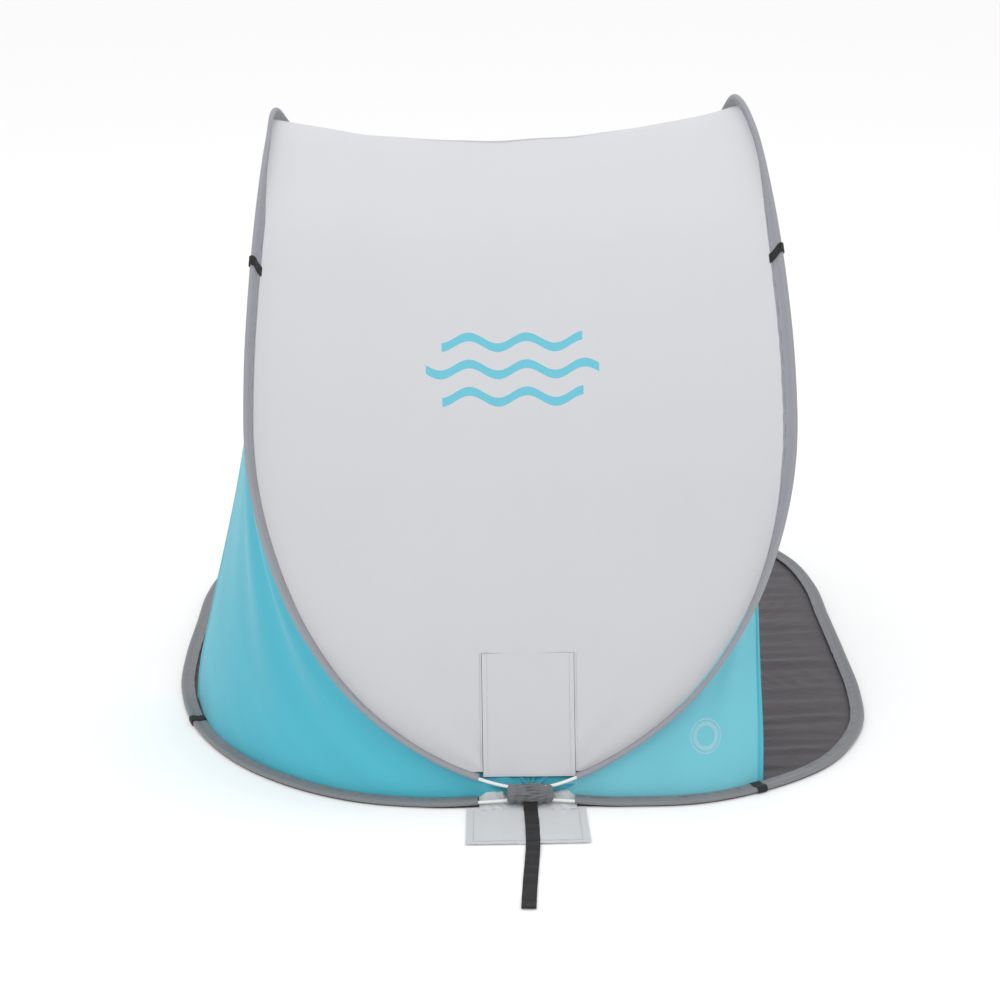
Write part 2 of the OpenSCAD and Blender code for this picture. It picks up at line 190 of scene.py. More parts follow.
@dataclass(frozen=True)
class Hoop:
    """One half of a hoop's rod line, from the hub at place 0 to the middle of the front at 1."""

    points: tuple[Triple, ...]
    centre: Triple
    side: Side = Side.RIGHT
    lean: tuple[tuple[float, float], ...] = ((0, 0), (1, 0))

    def along(self, t: Array) -> Array:
        """Points of the right-hand line at places t."""
        pts = np.array(self.points) * MM
        pts = np.vstack([pts[1] * MIRROR, pts, pts[-2] * MIRROR])
        last = len(pts) - 3
        k = np.clip(np.floor(t * last).astype(int), 0, last - 1)
        u = (t * last - k)[..., None]
        a, b, c, d = (pts[k + i] for i in range(4))
        square, cube = 2 * a - 5 * b + 4 * c - d, 3 * b - 3 * c + d - a
        return 0.5 * (2 * b + (c - a) * u + square * u**2 + cube * u**3)

    def frames(self, t: Array | float) -> tuple[Array, Array, Array]:
        """The line's points, directions into the fabric and directions out of the shelter.

        Args:
            t: Places from 0 to 1.

        Returns:
            Points, inward and outward directions, on this hoop's side.
        """
        t = np.atleast_1d(np.asarray(t, float))
        p = self.along(t)
        dir_ = unit(self.along(np.minimum(t + STEP, 1)) - self.along(np.maximum(t - STEP, 0)))
        dir_[t < STEP] = (1, 0, 0)
        dir_[t > 1 - STEP] = (-1, 0, 0)
        pull = np.array(self.centre) * MM - p
        inward = unit(pull - dir_ * (pull * dir_).sum(-1, keepdims=True))
        out = np.cross(dir_, inward)
        place, degrees = np.array(self.lean, float).T
        turn = np.radians(np.interp(t, place, degrees))[:, None]
        inward, out = inward * np.cos(turn) - out * np.sin(turn), out * np.cos(turn) + inward * np.sin(turn)
        flip = np.array((self.side.value, 1, 1))
        p = p * flip
        p[:, 0] += HUB_SHIFT * bell(t / ROUND_HUB)
        return p, inward * flip, out * flip

    def place(self, t: Array | float, inward: float, out: float) -> Array:
        """Points beside the line at places t, by their distances inward and outward."""
        p, a, b = self.frames(t)
        return p + a * inward + b * out


CANOPY_CENTRE = (0, 420, 640)
CANOPY_HOOPS = {
    Side.RIGHT: Hoop(CANOPY_RIGHT_POINTS, CANOPY_CENTRE, Side.RIGHT, LEAN_RIGHT),
    Side.LEFT: Hoop(CANOPY_LEFT_POINTS, CANOPY_CENTRE, Side.LEFT, LEAN_LEFT),
}
FLOOR_CENTRE = (0, 650, 6)
FLOOR_HOOPS = {
    Side.RIGHT: Hoop(FLOOR_RIGHT_POINTS, FLOOR_CENTRE, Side.RIGHT),
    Side.LEFT: Hoop(FLOOR_LEFT_POINTS, FLOOR_CENTRE, Side.LEFT),
}


@dataclass
class Track:
    """Frames along a length of hoop, with the distance run at each."""

    point: Array
    inward: Array
    out: Array
    run: Array = field(init=False)

    def __post_init__(self) -> None:
        """Measure the distance run."""
        self.run = run_along(self.point)

    @classmethod
    def on(cls, hoop: Hoop, start: float, end: float, spacing: float) -> "Track":
        """Evenly spaced frames on one half hoop between two places."""
        t = np.linspace(start, end, 600)
        p = hoop.frames(t)[0]
        run = run_along(p)
        even = np.linspace(0, run[-1], max(3, round(run[-1] / spacing)) + 1)
        return cls(*hoop.frames(np.interp(even, run, t)))

    @classmethod
    def round(cls, right: Hoop, left: Hoop, start: float, spacing: float) -> "Track":
        """Frames all round a hoop, from a place right of the hub to the same place left of it."""
        a, b = cls.on(right, start, 1, spacing), cls.on(left, 1, start, spacing)
        pairs = (a.point, b.point), (a.inward, b.inward), (a.out, b.out)
        return cls(*(np.vstack([x, y[1:]]) for x, y in pairs))

    def lay(self, across: Array, proud: Array) -> Array:
        """A grid of points, ring by ring, at distances inward and out of the shelter."""
        beside = self.point[:, None] + self.inward[:, None] * across[..., None]
        return beside + self.out[:, None] * proud[..., None]


# ---- Shader maths ----------------------------------------------------------------------------


class Signal:
    """A number that varies over a surface, with Python's arithmetic."""

    def __init__(self, paint: "Paint", socket: Any) -> None:
        """Wrap a socket of a material's nodes."""
        self.paint, self.socket = paint, socket

    def _math(self, operation: str, *others: "Signal | float") -> "Signal":
        """The Math node of this signal and the others."""
        node = self.paint.node("ShaderNodeMath", {"operation": operation}, dict(enumerate((self, *others))))
        return Signal(self.paint, node.outputs[0])

    def _flip(self, operation: str, other: float) -> "Signal":
        """The Math node of a number and this signal, in that order."""
        node = self.paint.node("ShaderNodeMath", {"operation": operation}, {0: other, 1: self})
        return Signal(self.paint, node.outputs[0])

    def __add__(self, o: "Signal | float") -> "Signal":
        """Sum."""
        return self._math("ADD", o)

    def __radd__(self, o: float) -> "Signal":
        """Sum with a number first."""
        return self._math("ADD", o)

    def __sub__(self, o: "Signal | float") -> "Signal":
        """Difference."""
        return self._math("SUBTRACT", o)

    def __rsub__(self, o: float) -> "Signal":
        """Difference from a number."""
        return self._flip("SUBTRACT", o)

    def __mul__(self, o: "Signal | float") -> "Signal":
        """Product."""
        return self._math("MULTIPLY", o)

    def __rmul__(self, o: float) -> "Signal":
        """Product with a number first."""
        return self._math("MULTIPLY", o)

    def __truediv__(self, o: "Signal | float") -> "Signal":
        """Quotient."""
        return self._math("DIVIDE", o)

    def sin(self) -> "Signal":
        """Sine."""
        return self._math("SINE")

    def abs(self) -> "Signal":
        """Size without sign."""
        return self._math("ABSOLUTE")

    def sqrt(self) -> "Signal":
        """Square root."""
        return self._math("SQRT")

    def max(self, o: "Signal | float") -> "Signal":
        """The larger of two."""
        return self._math("MAXIMUM", o)

    def clamp(self) -> "Signal":
        """Kept from 0 to 1."""
        return self._math("MINIMUM", 1.0)._math("MAXIMUM", 0.0)

    def within(self, half: float, soft: float) -> "Signal":
        """One where this signal's size is under half, fading over soft."""
        return ((half - self.abs()) / soft + 0.5).clamp()


class Paint:
    """A procedural material under construction."""

    def __init__(self, name: str, colour: Triple, roughness: float, **surface: float | Triple) -> None:
        """Start a material.

        Args:
            name: Its name.
            colour: Its mean colour, linear.
            roughness: Its mean roughness.
            surface: Other Principled inputs, by name with underscores, that are the same all over.
        """
        self.material = bpy.data.materials.new(name)
        self.material.use_nodes = True
        self.tree = self.material.node_tree
        self.shader = self.tree.nodes["Principled BSDF"]
        self.shader.inputs["Base Color"].default_value = (*colour, 1)
        self.shader.inputs["Roughness"].default_value = roughness
        for key, value in surface.items():
            value = (*value, 1) if isinstance(value, tuple) else value
            self.shader.inputs[key.replace("_", " ")].default_value = value

    def node(self, kind: str, settings: dict[str, Any], inputs: dict[int | str, Any]) -> bpy.types.Node:
        """Add a node.

        Args:
            kind: Its type.
            settings: Its own properties, set first.
            inputs: Values, signals or sockets, by a socket's number, name or identifier.

        Returns:
            The node.
        """
        made = self.tree.nodes.new(kind)
        for key, value in settings.items():
            setattr(made, key, value)
        for key, value in inputs.items():
            if isinstance(key, int):
                target = made.inputs[key]
            else:
                target = next(s for s in made.inputs if key in (s.identifier, s.name) and s.enabled)
            source = value.socket if isinstance(value, Signal) else value
            if isinstance(source, bpy.types.NodeSocket):
                self.tree.links.new(source, target)
            else:
                target.default_value = source
        return made

    def coordinates(self, output: str) -> Any:
        """The Object or UV coordinates' socket."""
        return self.node("ShaderNodeTexCoord", {}, {}).outputs[output]

    def axes(self, vector: Any) -> tuple[Signal, Signal, Signal]:
        """The three numbers of a vector."""
        split = self.node("ShaderNodeSeparateXYZ", {}, {0: vector})
        return tuple(Signal(self, s) for s in split.outputs)

    def stretched(self, vector: Any, scale: Triple) -> Any:
        """A vector's socket with its axes scaled."""
        return self.node("ShaderNodeMapping", {}, {"Vector": vector, "Scale": scale}).outputs[0]

    def noise(self, vector: Any, scale: float, detail: float = 2.0) -> Signal:
        """Smooth noise from about 0.2 to 0.8."""
        made = self.node("ShaderNodeTexNoise", {}, {"Vector": vector, "Scale": scale, "Detail": detail})
        return Signal(self, made.outputs["Fac"])

    def mix(self, factor: Signal, first: Any, second: Any) -> Any:
        """The socket of one colour faded into another; a colour is three numbers or a socket."""
        a, b = ((*c, 1) if isinstance(c, tuple) else c for c in (first, second))
        inputs = {"Factor_Float": factor, "A_Color": a, "B_Color": b}
        made = self.node("ShaderNodeMix", {"data_type": "RGBA"}, inputs)
        return next(s for s in made.outputs if s.identifier == "Result_Color")

    def colour(self, socket: Any) -> None:
        """Feed the base colour."""
        self.tree.links.new(socket, self.shader.inputs["Base Color"])

    def roughness(self, value: Signal) -> None:
        """Feed the roughness."""
        self.tree.links.new(value.socket, self.shader.inputs["Roughness"])

    def bump(self, height: Signal, distance: float, strength: float = 1.0) -> None:
        """Feed the normal from a height."""
        made = self.node("ShaderNodeBump", {}, {"Height": height, "Distance": distance, "Strength": strength})
        self.tree.links.new(made.outputs[0], self.shader.inputs["Normal"])


def shade_of(colour: Triple, share: float) -> Triple:
    """A colour made darker or lighter by a share."""
    return tuple(min(1.0, c * share) for c in colour)


class Motif(Enum):
    """What is printed on a cloth."""

    PLAIN = "plain"
    WAVES = "waves"
    RING = "ring"


@dataclass(frozen=True)
class WovenFinish:
    """Coated polyester cloth, woven plain, whose UV map is in metres."""

    name: str
    colour: Triple
    roughness: float = 0.6
    thread: float = 0.0007        # pitch of the weave
    weave_depth: float = 0.00006
    mottle: float = 0.05          # share of light and dark in the slow variation
    mottle_size: float = 0.22
    bands: float = 0.0            # share of light and dark in bands that run along v
    crease: float = 0.0           # depth of fine creases in the coating
    foot_shade: float = 0.0             # painted shade: how much darker the cloth is drawn at its foot than a metre up, where less light falls
    sheen: float = 0.15
    motif: Motif = Motif.PLAIN
    ink: Triple = (0.12, 0.55, 0.68)
    motif_at: tuple[float, float] = (0.0, 0.0)

    def printed(self, u: Signal, v: Signal) -> Signal:
        """Where the print's ink lies."""
        u, v = u - self.motif_at[0], v - self.motif_at[1]
        if self.motif is Motif.RING:
            radius = (u * u + v * v).sqrt()
            thin = (radius - 0.0285).within(0.0012, 0.0006)
            broad = (radius - 0.0205).within(0.0032, 0.0006)
            return (thin.max(broad) * 0.85).clamp()
        length, rise, half, pitch = 0.108, 0.0105, 0.0085, 0.052
        wave = (u * (2 * math.pi / length)).sin() * rise
        ink = None
        for row, reach in ((-1, 0.132), (0, 0.162), (1, 0.132)):
            line = (v - row * pitch - wave).within(half, 0.0008) * u.within(reach, 0.0012)
            ink = line if ink is None else ink.max(line)
        return ink

    def build(self) -> bpy.types.Material:
        """Make the material."""
        paint = Paint(self.name, self.colour, self.roughness, Sheen_Weight=self.sheen, Sheen_Roughness=0.45)
        uv, place = paint.coordinates("UV"), paint.coordinates("Object")
        u, v, _ = paint.axes(uv)
        slow = paint.noise(place, 1 / self.mottle_size, 2.0)
        fine = paint.noise(uv, 900.0, 2.0)
        tone = (slow - 0.5) * (2 * self.mottle) + (fine - 0.5) * 0.05 + 0.5
        if self.bands:
            broad = paint.noise(paint.stretched(uv, (1.0, 0.10, 1.0)), 9.0, 1.0)
            tone = tone + (broad - 0.5) * (2 * self.bands)
        # Painted shade: the cloth is drawn darker towards its foot, standing in for the lesser light low down
        if self.foot_shade:
            tone = tone - (1 - v).clamp() * self.foot_shade
        threads = (u * (2 * math.pi / self.thread)).sin() * (v * (2 * math.pi / self.thread)).sin()
        tone = (tone + threads * 0.012).clamp()
        colour = paint.mix(tone, shade_of(self.colour, 0.5), shade_of(self.colour, 1.5))
        if self.motif is not Motif.PLAIN:
            colour = paint.mix(self.printed(u, v), colour, self.ink)
        paint.colour(colour)
        paint.roughness((slow * 0.16 + fine * 0.08 + (self.roughness - 0.12)).clamp())
        height = threads * self.weave_depth
        if self.crease:
            sharp = (paint.noise(paint.stretched(uv, (1.0, 3.2, 1.0)), 16.0, 3.0) - 0.5).abs()
            height = height + (sharp * (-2 * self.crease))
        paint.bump(height + (fine - 0.5) * (self.weave_depth * 0.5), 1.0)
        return paint.material


@dataclass(frozen=True)
class WebbingFinish:
    """Polypropylene webbing with ribs across it, whose UV map is in metres along v."""

    name: str
    colour: Triple
    rib: float = 0.0016

    def build(self) -> bpy.types.Material:
        """Make the material."""
        paint = Paint(self.name, self.colour, 0.72, Sheen_Weight=0.08, Sheen_Roughness=0.4)
        uv = paint.coordinates("UV")
        u, v, _ = paint.axes(uv)
        chevron = ((u * (2 * math.pi / (2 * self.rib))).sin() * 1.2 + v * (2 * math.pi / self.rib)).sin()
        fuzz = paint.noise(uv, 1200.0, 2.0)
        wear = paint.noise(paint.coordinates("Object"), 30.0, 3.0)
        tone = (chevron * 0.14 + fuzz * 0.3 + wear * 0.3 + 0.15).clamp()
        paint.colour(paint.mix(tone, shade_of(self.colour, 0.55), shade_of(self.colour, 1.6)))
        paint.roughness((wear * 0.2 + 0.6).clamp())
        paint.bump(chevron * 0.00012 + fuzz * 0.00008, 1.0)
        return paint.material


@dataclass(frozen=True)
class RodFinish:
    """Pale glass-fibre rod: resin over faint fibres and small scuffs."""

    name: str
    colour: Triple

    def build(self) -> bpy.types.Material:
        """Make the material."""
        paint = Paint(self.name, self.colour, 0.32, Coat_Weight=0.25, Coat_Roughness=0.15)
        place = paint.coordinates("Object")
        fibres = paint.noise(paint.stretched(place, (40.0, 500.0, 500.0)), 1.0, 2.0)
        scuffs = paint.noise(place, 160.0, 3.0)
        tone = (fibres * 0.5 + scuffs * 0.3 + 0.1).clamp()
        paint.colour(paint.mix(tone, shade_of(self.colour, 0.84), shade_of(self.colour, 1.12)))
        paint.roughness((scuffs * 0.3 + 0.18).clamp())
        paint.bump(fibres * 0.00005, 1.0)
        return paint.material


@dataclass(frozen=True)
class SteelFinish:
    """Drawn steel tube with fine scratches round it."""

    name: str
    colour: Triple

    def build(self) -> bpy.types.Material:
        """Make the material."""
        paint = Paint(self.name, self.colour, 0.3, Metallic=1.0)
        place = paint.coordinates("Object")
        drawn = paint.noise(paint.stretched(place, (900.0, 60.0, 60.0)), 1.0, 3.0)
        dull = paint.noise(place, 90.0, 2.0)
        paint.colour(paint.mix(dull, shade_of(self.colour, 0.8), shade_of(self.colour, 1.1)))
        paint.roughness((drawn * 0.3 + dull * 0.2 + 0.1).clamp())
        paint.bump(drawn * 0.00002, 1.0)
        return paint.material


@dataclass(frozen=True)
class ThreadFinish:
    """Twisted sewing thread."""

    name: str
    colour: Triple

    def build(self) -> bpy.types.Material:
        """Make the material."""
        paint = Paint(self.name, self.colour, 0.6, Sheen_Weight=0.2)
        twist = paint.noise(paint.coordinates("Object"), 2200.0, 2.0)
        paint.colour(paint.mix(twist, shade_of(self.colour, 0.7), shade_of(self.colour, 1.25)))
        paint.roughness((twist * 0.3 + 0.45).clamp())
        paint.bump(twist * 0.00004, 1.0)
        return paint.material


FINISHES = {
    "canopy": WovenFinish(
        "silver_polyester", (0.600, 0.605, 0.628), 0.5, mottle=0.012, bands=0.008, foot_shade=0.05, sheen=0.1,
        motif=Motif.WAVES, ink=(0.13, 0.50, 0.62), motif_at=(-0.012, 0.775),
    ),
    "tongue": WovenFinish(
        "silver_polyester_tongue", (0.600, 0.605, 0.628), 0.5, mottle=0.012, foot_shade=0.05, sheen=0.1,
    ),
    "wall_left": WovenFinish(
        "turquoise_polyester", (0.058, 0.445, 0.565), 0.55, mottle=0.03, bands=0.10, sheen=0.2,
    ),
    "wall_right": WovenFinish(
        "turquoise_polyester_ring", (0.150, 0.520, 0.620), 0.55, mottle=0.03, bands=0.06, sheen=0.2,
        motif=Motif.RING, ink=(0.33, 0.55, 0.62), motif_at=(0.338, 0.100),
    ),
    "gusset": WovenFinish("turquoise_polyester_gusset", (0.02, 0.29, 0.38), 0.55, mottle=0.05, sheen=0.2),
    "sleeve": WovenFinish("grey_polyester", (0.285, 0.292, 0.325), 0.6, mottle=0.05, mottle_size=0.06),
    "floor_sleeve": WovenFinish(
        "grey_polyester_floor", (0.20, 0.205, 0.217), 0.6, mottle=0.05, mottle_size=0.06,
    ),
    "hub": WovenFinish("grey_polyester_hub", (0.150, 0.153, 0.163), 0.6, mottle=0.08, mottle_size=0.012),
    "floor": WovenFinish(
        "dark_coated_polyester", (0.052, 0.044, 0.052), 0.5, mottle=0.06, mottle_size=0.12,
        crease=0.0012, sheen=0.1,
    ),
    "flap": WovenFinish("pale_coated_polyester", (0.60, 0.62, 0.635), 0.5, mottle=0.04, mottle_size=0.05),
    "webbing": WebbingFinish("black_webbing", (0.0058, 0.0052, 0.0066)),
    "rod": RodFinish("white_glass_fibre", (0.80, 0.81, 0.78)),
    "steel": SteelFinish("drawn_steel", (0.55, 0.56, 0.57)),
    "dark_thread": ThreadFinish("dark_grey_thread", (0.055, 0.055, 0.062)),
    "pale_thread": ThreadFinish("pale_grey_thread", (0.36, 0.37, 0.38)),
    "blue_thread": ThreadFinish("turquoise_thread", (0.03, 0.30, 0.40)),
    "black_thread": ThreadFinish("black_thread", (0.06, 0.06, 0.065)),
}


class Dresser:
    """Makes each finish once and puts it on pieces."""

    def __init__(self) -> None:
        """Start with nothing made."""
        self.made: dict[str, bpy.types.Material] = {}

    def material(self, finish: str) -> bpy.types.Material:
        """The material of a finish."""
        if finish not in self.made:
            self.made[finish] = FINISHES[finish].build()
        return self.made[finish]

    def dress(self, piece: Piece, finish: str) -> Piece:
        """Put a finish on all of a piece."""
        piece.data.materials.clear()
        piece.data.materials.append(self.material(finish))
        return piece

    def line(self, piece: Piece, finish: str, inside: Triple) -> None:
        """Put a second finish on the faces that look towards a point inside."""
        piece.data.materials.append(self.material(finish))
        for face in piece.data.polygons:
            if sum(n * (c - i) for n, c, i in zip(face.normal, face.center, inside)) < 0:
                face.material_index = 1

    def dress_node(self, node: str, finish: str) -> None:
        """Put a finish on a carried-over node, through its object's slots."""
        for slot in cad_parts[node].material_slots:
            slot.link = "OBJECT"
            slot.material = self.material(finish)


# ---- Making meshes ---------------------------------------------------------------------------


def deselect() -> None:
    """Leave no object selected."""
    for other in bpy.context.selected_objects:
        other.select_set(False)


def only(piece: Piece) -> None:
    """Make one object the selected and active one."""
    deselect()
    piece.select_set(True)
    bpy.context.view_layer.objects.active = piece


def smooth(piece: Piece, angle: float = 40) -> Piece:
    """Shade a piece smooth, but for edges sharper than an angle in degrees."""
    only(piece)
    bpy.ops.object.shade_smooth_by_angle(angle=math.radians(angle))
    return piece


def open_area(piece: Piece) -> float:
    """The area of an open sheet, in square metres."""
    return sum(p.area for p in piece.data.polygons)


def thicken(piece: Piece, thick: float) -> Piece:
    """Give a sheet its thickness, evenly about its middle."""
    shell = piece.modifiers.new("thickness", "SOLIDIFY")
    shell.thickness, shell.offset, shell.use_even_offset = thick, 0.0, False
    only(piece)
    bpy.ops.object.modifier_apply(modifier=shell.name)
    return piece


def mesh_piece(name: str, points: Array, faces: list[list[int]], uv: Array | None = None) -> Piece:
    """A new object of given points and faces.

    Args:
        name: Its name.
        points: Its points, (n, 3).
        faces: The numbers of each face's points.
        uv: The UV place of each point, (n, 2), in metres.

    Returns:
        The object.
    """
    mesh = bpy.data.meshes.new(name)
    mesh.from_pydata(points.tolist(), [], faces)
    if uv is not None:
        layer = mesh.uv_layers.new(name="cloth")
        corner = np.array([loop.vertex_index for loop in mesh.loops])
        layer.data.foreach_set("uv", uv[corner].ravel())
    piece = bpy.data.objects.new(name, mesh)
    bpy.context.collection.objects.link(piece)
    return piece


def cell_faces(rows: int, cols: int, wrap: bool = False, gone: Array | None = None) -> Array:
    """Faces of a grid of points, row by row.

    Args:
        rows: Number of rows of points.
        cols: Number of points in a row.
        wrap: Whether each row closes on itself.
        gone: Cells to leave out, (rows - 1, cols - 1).

    Returns:
        The faces.
    """
    i, j = np.meshgrid(np.arange(rows - 1), np.arange(cols if wrap else cols - 1), indexing="ij")
    if gone is not None:
        i, j = i[~gone], j[~gone]
    i, j = i.ravel(), j.ravel()
    k = (j + 1) % cols
    return np.stack([i * cols + j, i * cols + k, (i + 1) * cols + k, (i + 1) * cols + j], axis=1)


def grid_piece(name: str, grid: Array, uv: Array, gone: Array | None = None) -> Piece:
    """An open sheet over a grid of points, without loose points."""
    rows, cols = grid.shape[:2]
    faces = cell_faces(rows, cols, gone=gone)
    used, faces = np.unique(faces, return_inverse=True)
    return mesh_piece(name, grid.reshape(-1, 3)[used], faces.reshape(-1, 4).tolist(), uv.reshape(-1, 2)[used])


def recalculated(piece: Piece) -> Piece:
    """Turn a closed shell's faces outward."""
    build = bmesh.new()
    build.from_mesh(piece.data)
    bmesh.ops.recalc_face_normals(build, faces=build.faces)
    build.to_mesh(piece.data)
    build.free()
    return piece


def tube_piece(name: str, grid: Array, uv: Array) -> Piece:
    """A closed solid of rings of points, with its two ends filled."""
    rows, cols = grid.shape[:2]
    ends = [list(range(cols)), list(range((rows - 1) * cols, rows * cols))]
    faces = cell_faces(rows, cols, wrap=True).tolist() + ends
    return recalculated(mesh_piece(name, grid.reshape(-1, 3), faces, uv.reshape(-1, 2)))


class Stitcher:
    """Sews rows of stitches from one modelled stitch."""

    def __init__(self) -> None:
        """Model the stitch: a small bead, longer than it is wide, along X."""
        deselect()
        lying = (0, math.pi / 2, 0)
        bpy.ops.mesh.primitive_uv_sphere_add(segments=6, ring_count=4, radius=0.5, rotation=lying)
        bead = bpy.context.active_object
        bpy.ops.object.transform_apply(location=False, rotation=True, scale=True)
        self.points = np.array([v.co for v in bead.data.vertices])
        self.faces = [list(p.vertices) for p in bead.data.polygons]
        bpy.data.objects.remove(bead)

    def sew(
        self, name: str, line: Array, face: Array, pitch: float = 0.0048, length: float = 0.0036,
        width: float = 0.0007,
    ) -> Piece:
        """Sew along a line.

        Args:
            name: The piece's name.
            line: Points along the seam, (n, 3).
            face: The cloth's outward directions there, (n, 3).
            pitch: Distance from stitch to stitch.
            length: Length of a stitch.
            width: Width of the thread.

        Returns:
            One piece with every stitch of the row.
        """
        run = run_along(line)
        at = np.arange(pitch / 2, run[-1], pitch)
        spot = read_at(at, run, line)
        ahead = read_at(at + pitch / 4, run, line)
        behind = read_at(at - pitch / 4, run, line)
        up = unit(read_at(at, run, face))
        along = unit(ahead - behind)
        across = unit(np.cross(up, along))
        size = np.array((length, width, width * 0.8))
        local = self.points * size
        points = (
            spot[:, None] + local[None, :, 0:1] * along[:, None] + local[None, :, 1:2] * across[:, None]
            + local[None, :, 2:3] * up[:, None]
        ).reshape(-1, 3)
        n = len(self.points)
        faces = [[k * n + v for v in face] for k in range(len(at)) for face in self.faces]
        return smooth(mesh_piece(name, points, faces), 80)


def webbing_strip(
    name: str, path: Array, across: Array, width: float, thick: float, corner: int = 3,
) -> Piece:
    """A flat strip of webbing with soft selvedges.

    Args:
        name: The piece's name.
        path: Points along the middle of the strip, (n, 3).
        across: Unit directions over its width, (n, 3).
        width: Its width.
        thick: Its thickness.
        corner: Points in each quarter of a rounded selvedge.

    Returns:
        The strip, a closed solid with UV in metres.
    """
    ahead = unit(np.gradient(path, axis=0))
    face = unit(np.cross(across, ahead))
    half, r = width / 2, thick / 2
    ring = []
    for sign in (1, -1):
        for k in range(2 * corner + 1):
            a = math.pi / 2 - k * math.pi / (2 * corner)
            ring.append((sign * (half - r + r * math.cos(a)), sign * r * math.sin(a)))
        for k in range(1, 8):
            ring.append((sign * (half - r) * (1 - k / 4), -sign * r * 0.94))
    ring = np.array(ring)
    grid = path[:, None] + across[:, None] * ring[None, :, :1] + face[:, None] * ring[None, :, 1:]
    run = run_along(path)
    uv = paired(ring[None, :, 0], run[:, None])
    return smooth(tube_piece(name, grid, uv), 50)


def resampled(corners: Sequence[Sequence[float]], spacing: float, softness: int = 4) -> Array:
    """Evenly spaced points along a bent line whose corners are softened."""
    line = np.array(corners, float)
    for _ in range(softness):
        cut = [[a * 0.75 + b * 0.25, a * 0.25 + b * 0.75] for a, b in zip(line, line[1:])]
        line = np.vstack([line[:1], *cut, line[-1:]])
    run = run_along(line)
    at = np.linspace(0, run[-1], max(3, round(run[-1] / spacing)) + 1)
    return read_at(at, run, line)


# ---- Sub-assemblies --------------------------------------------------------------------------


@dataclass
class Assembly:
    """What every sub-assembly shares."""

    dresser: Dresser
    stitcher: Stitcher

    def ready(self, piece: Piece, finish: str, slot: str, *nodes: str) -> Piece:
        """Dress a piece and hide the nodes that it stands for."""
        self.dresser.dress(piece, finish)
        if nodes:
            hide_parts(*nodes)
        LOG.info("%s: %d faces", piece.name, len(piece.data.polygons))
        return piece

    @staticmethod
    def over_horns(piece: Piece) -> Piece:
        """Bake a piece's place into its mesh."""
        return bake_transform(piece)


@dataclass
class HoopRods(Assembly):
    """The two glass-fibre hoops and their ferrules."""

    spacing: float = 0.012
    sides: int = 20
    start: float = 0.0002         # place beside the middle of the hub where a rod's ends meet

    def rod(self, name: str, hoops: dict[Side, Hoop]) -> Piece:
        """The rod of a hoop."""
        track = Track.round(hoops[Side.RIGHT], hoops[Side.LEFT], self.start, self.spacing)
        turn = np.linspace(0, 2 * math.pi, self.sides, endpoint=False)
        ring = np.stack([np.cos(turn), np.sin(turn)])[:, None] * ROD_R
        grid = track.lay(*np.broadcast_to(ring, (2, len(track.run), self.sides)))
        uv = paired(turn[None] * ROD_R, track.run[:, None])
        return smooth(tube_piece(name, grid, uv), 50)

    def build(self) -> None:
        """Make the rods and dress the ferrules."""
        floor = self.rod("floor_rod_hoop", FLOOR_HOOPS)
        self.ready(floor, "rod", "rod", "floor_rod_right", "floor_rod_left")
        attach(floor, "base")
        canopy = self.rod("canopy_rod_hoop", CANOPY_HOOPS)
        nodes = [f"{part}_rod_{side}" for part in ("canopy", "visor") for side in ("right", "left")]
        self.ready(canopy, "rod", "rod", *nodes)
        self.over_horns(canopy)
        for node in ("floor_ferrule_front", "floor_ferrule_rear", "canopy_ferrule_rear",
                      "visor_ferrule_front"):
            self.dresser.dress_node(node, "steel")


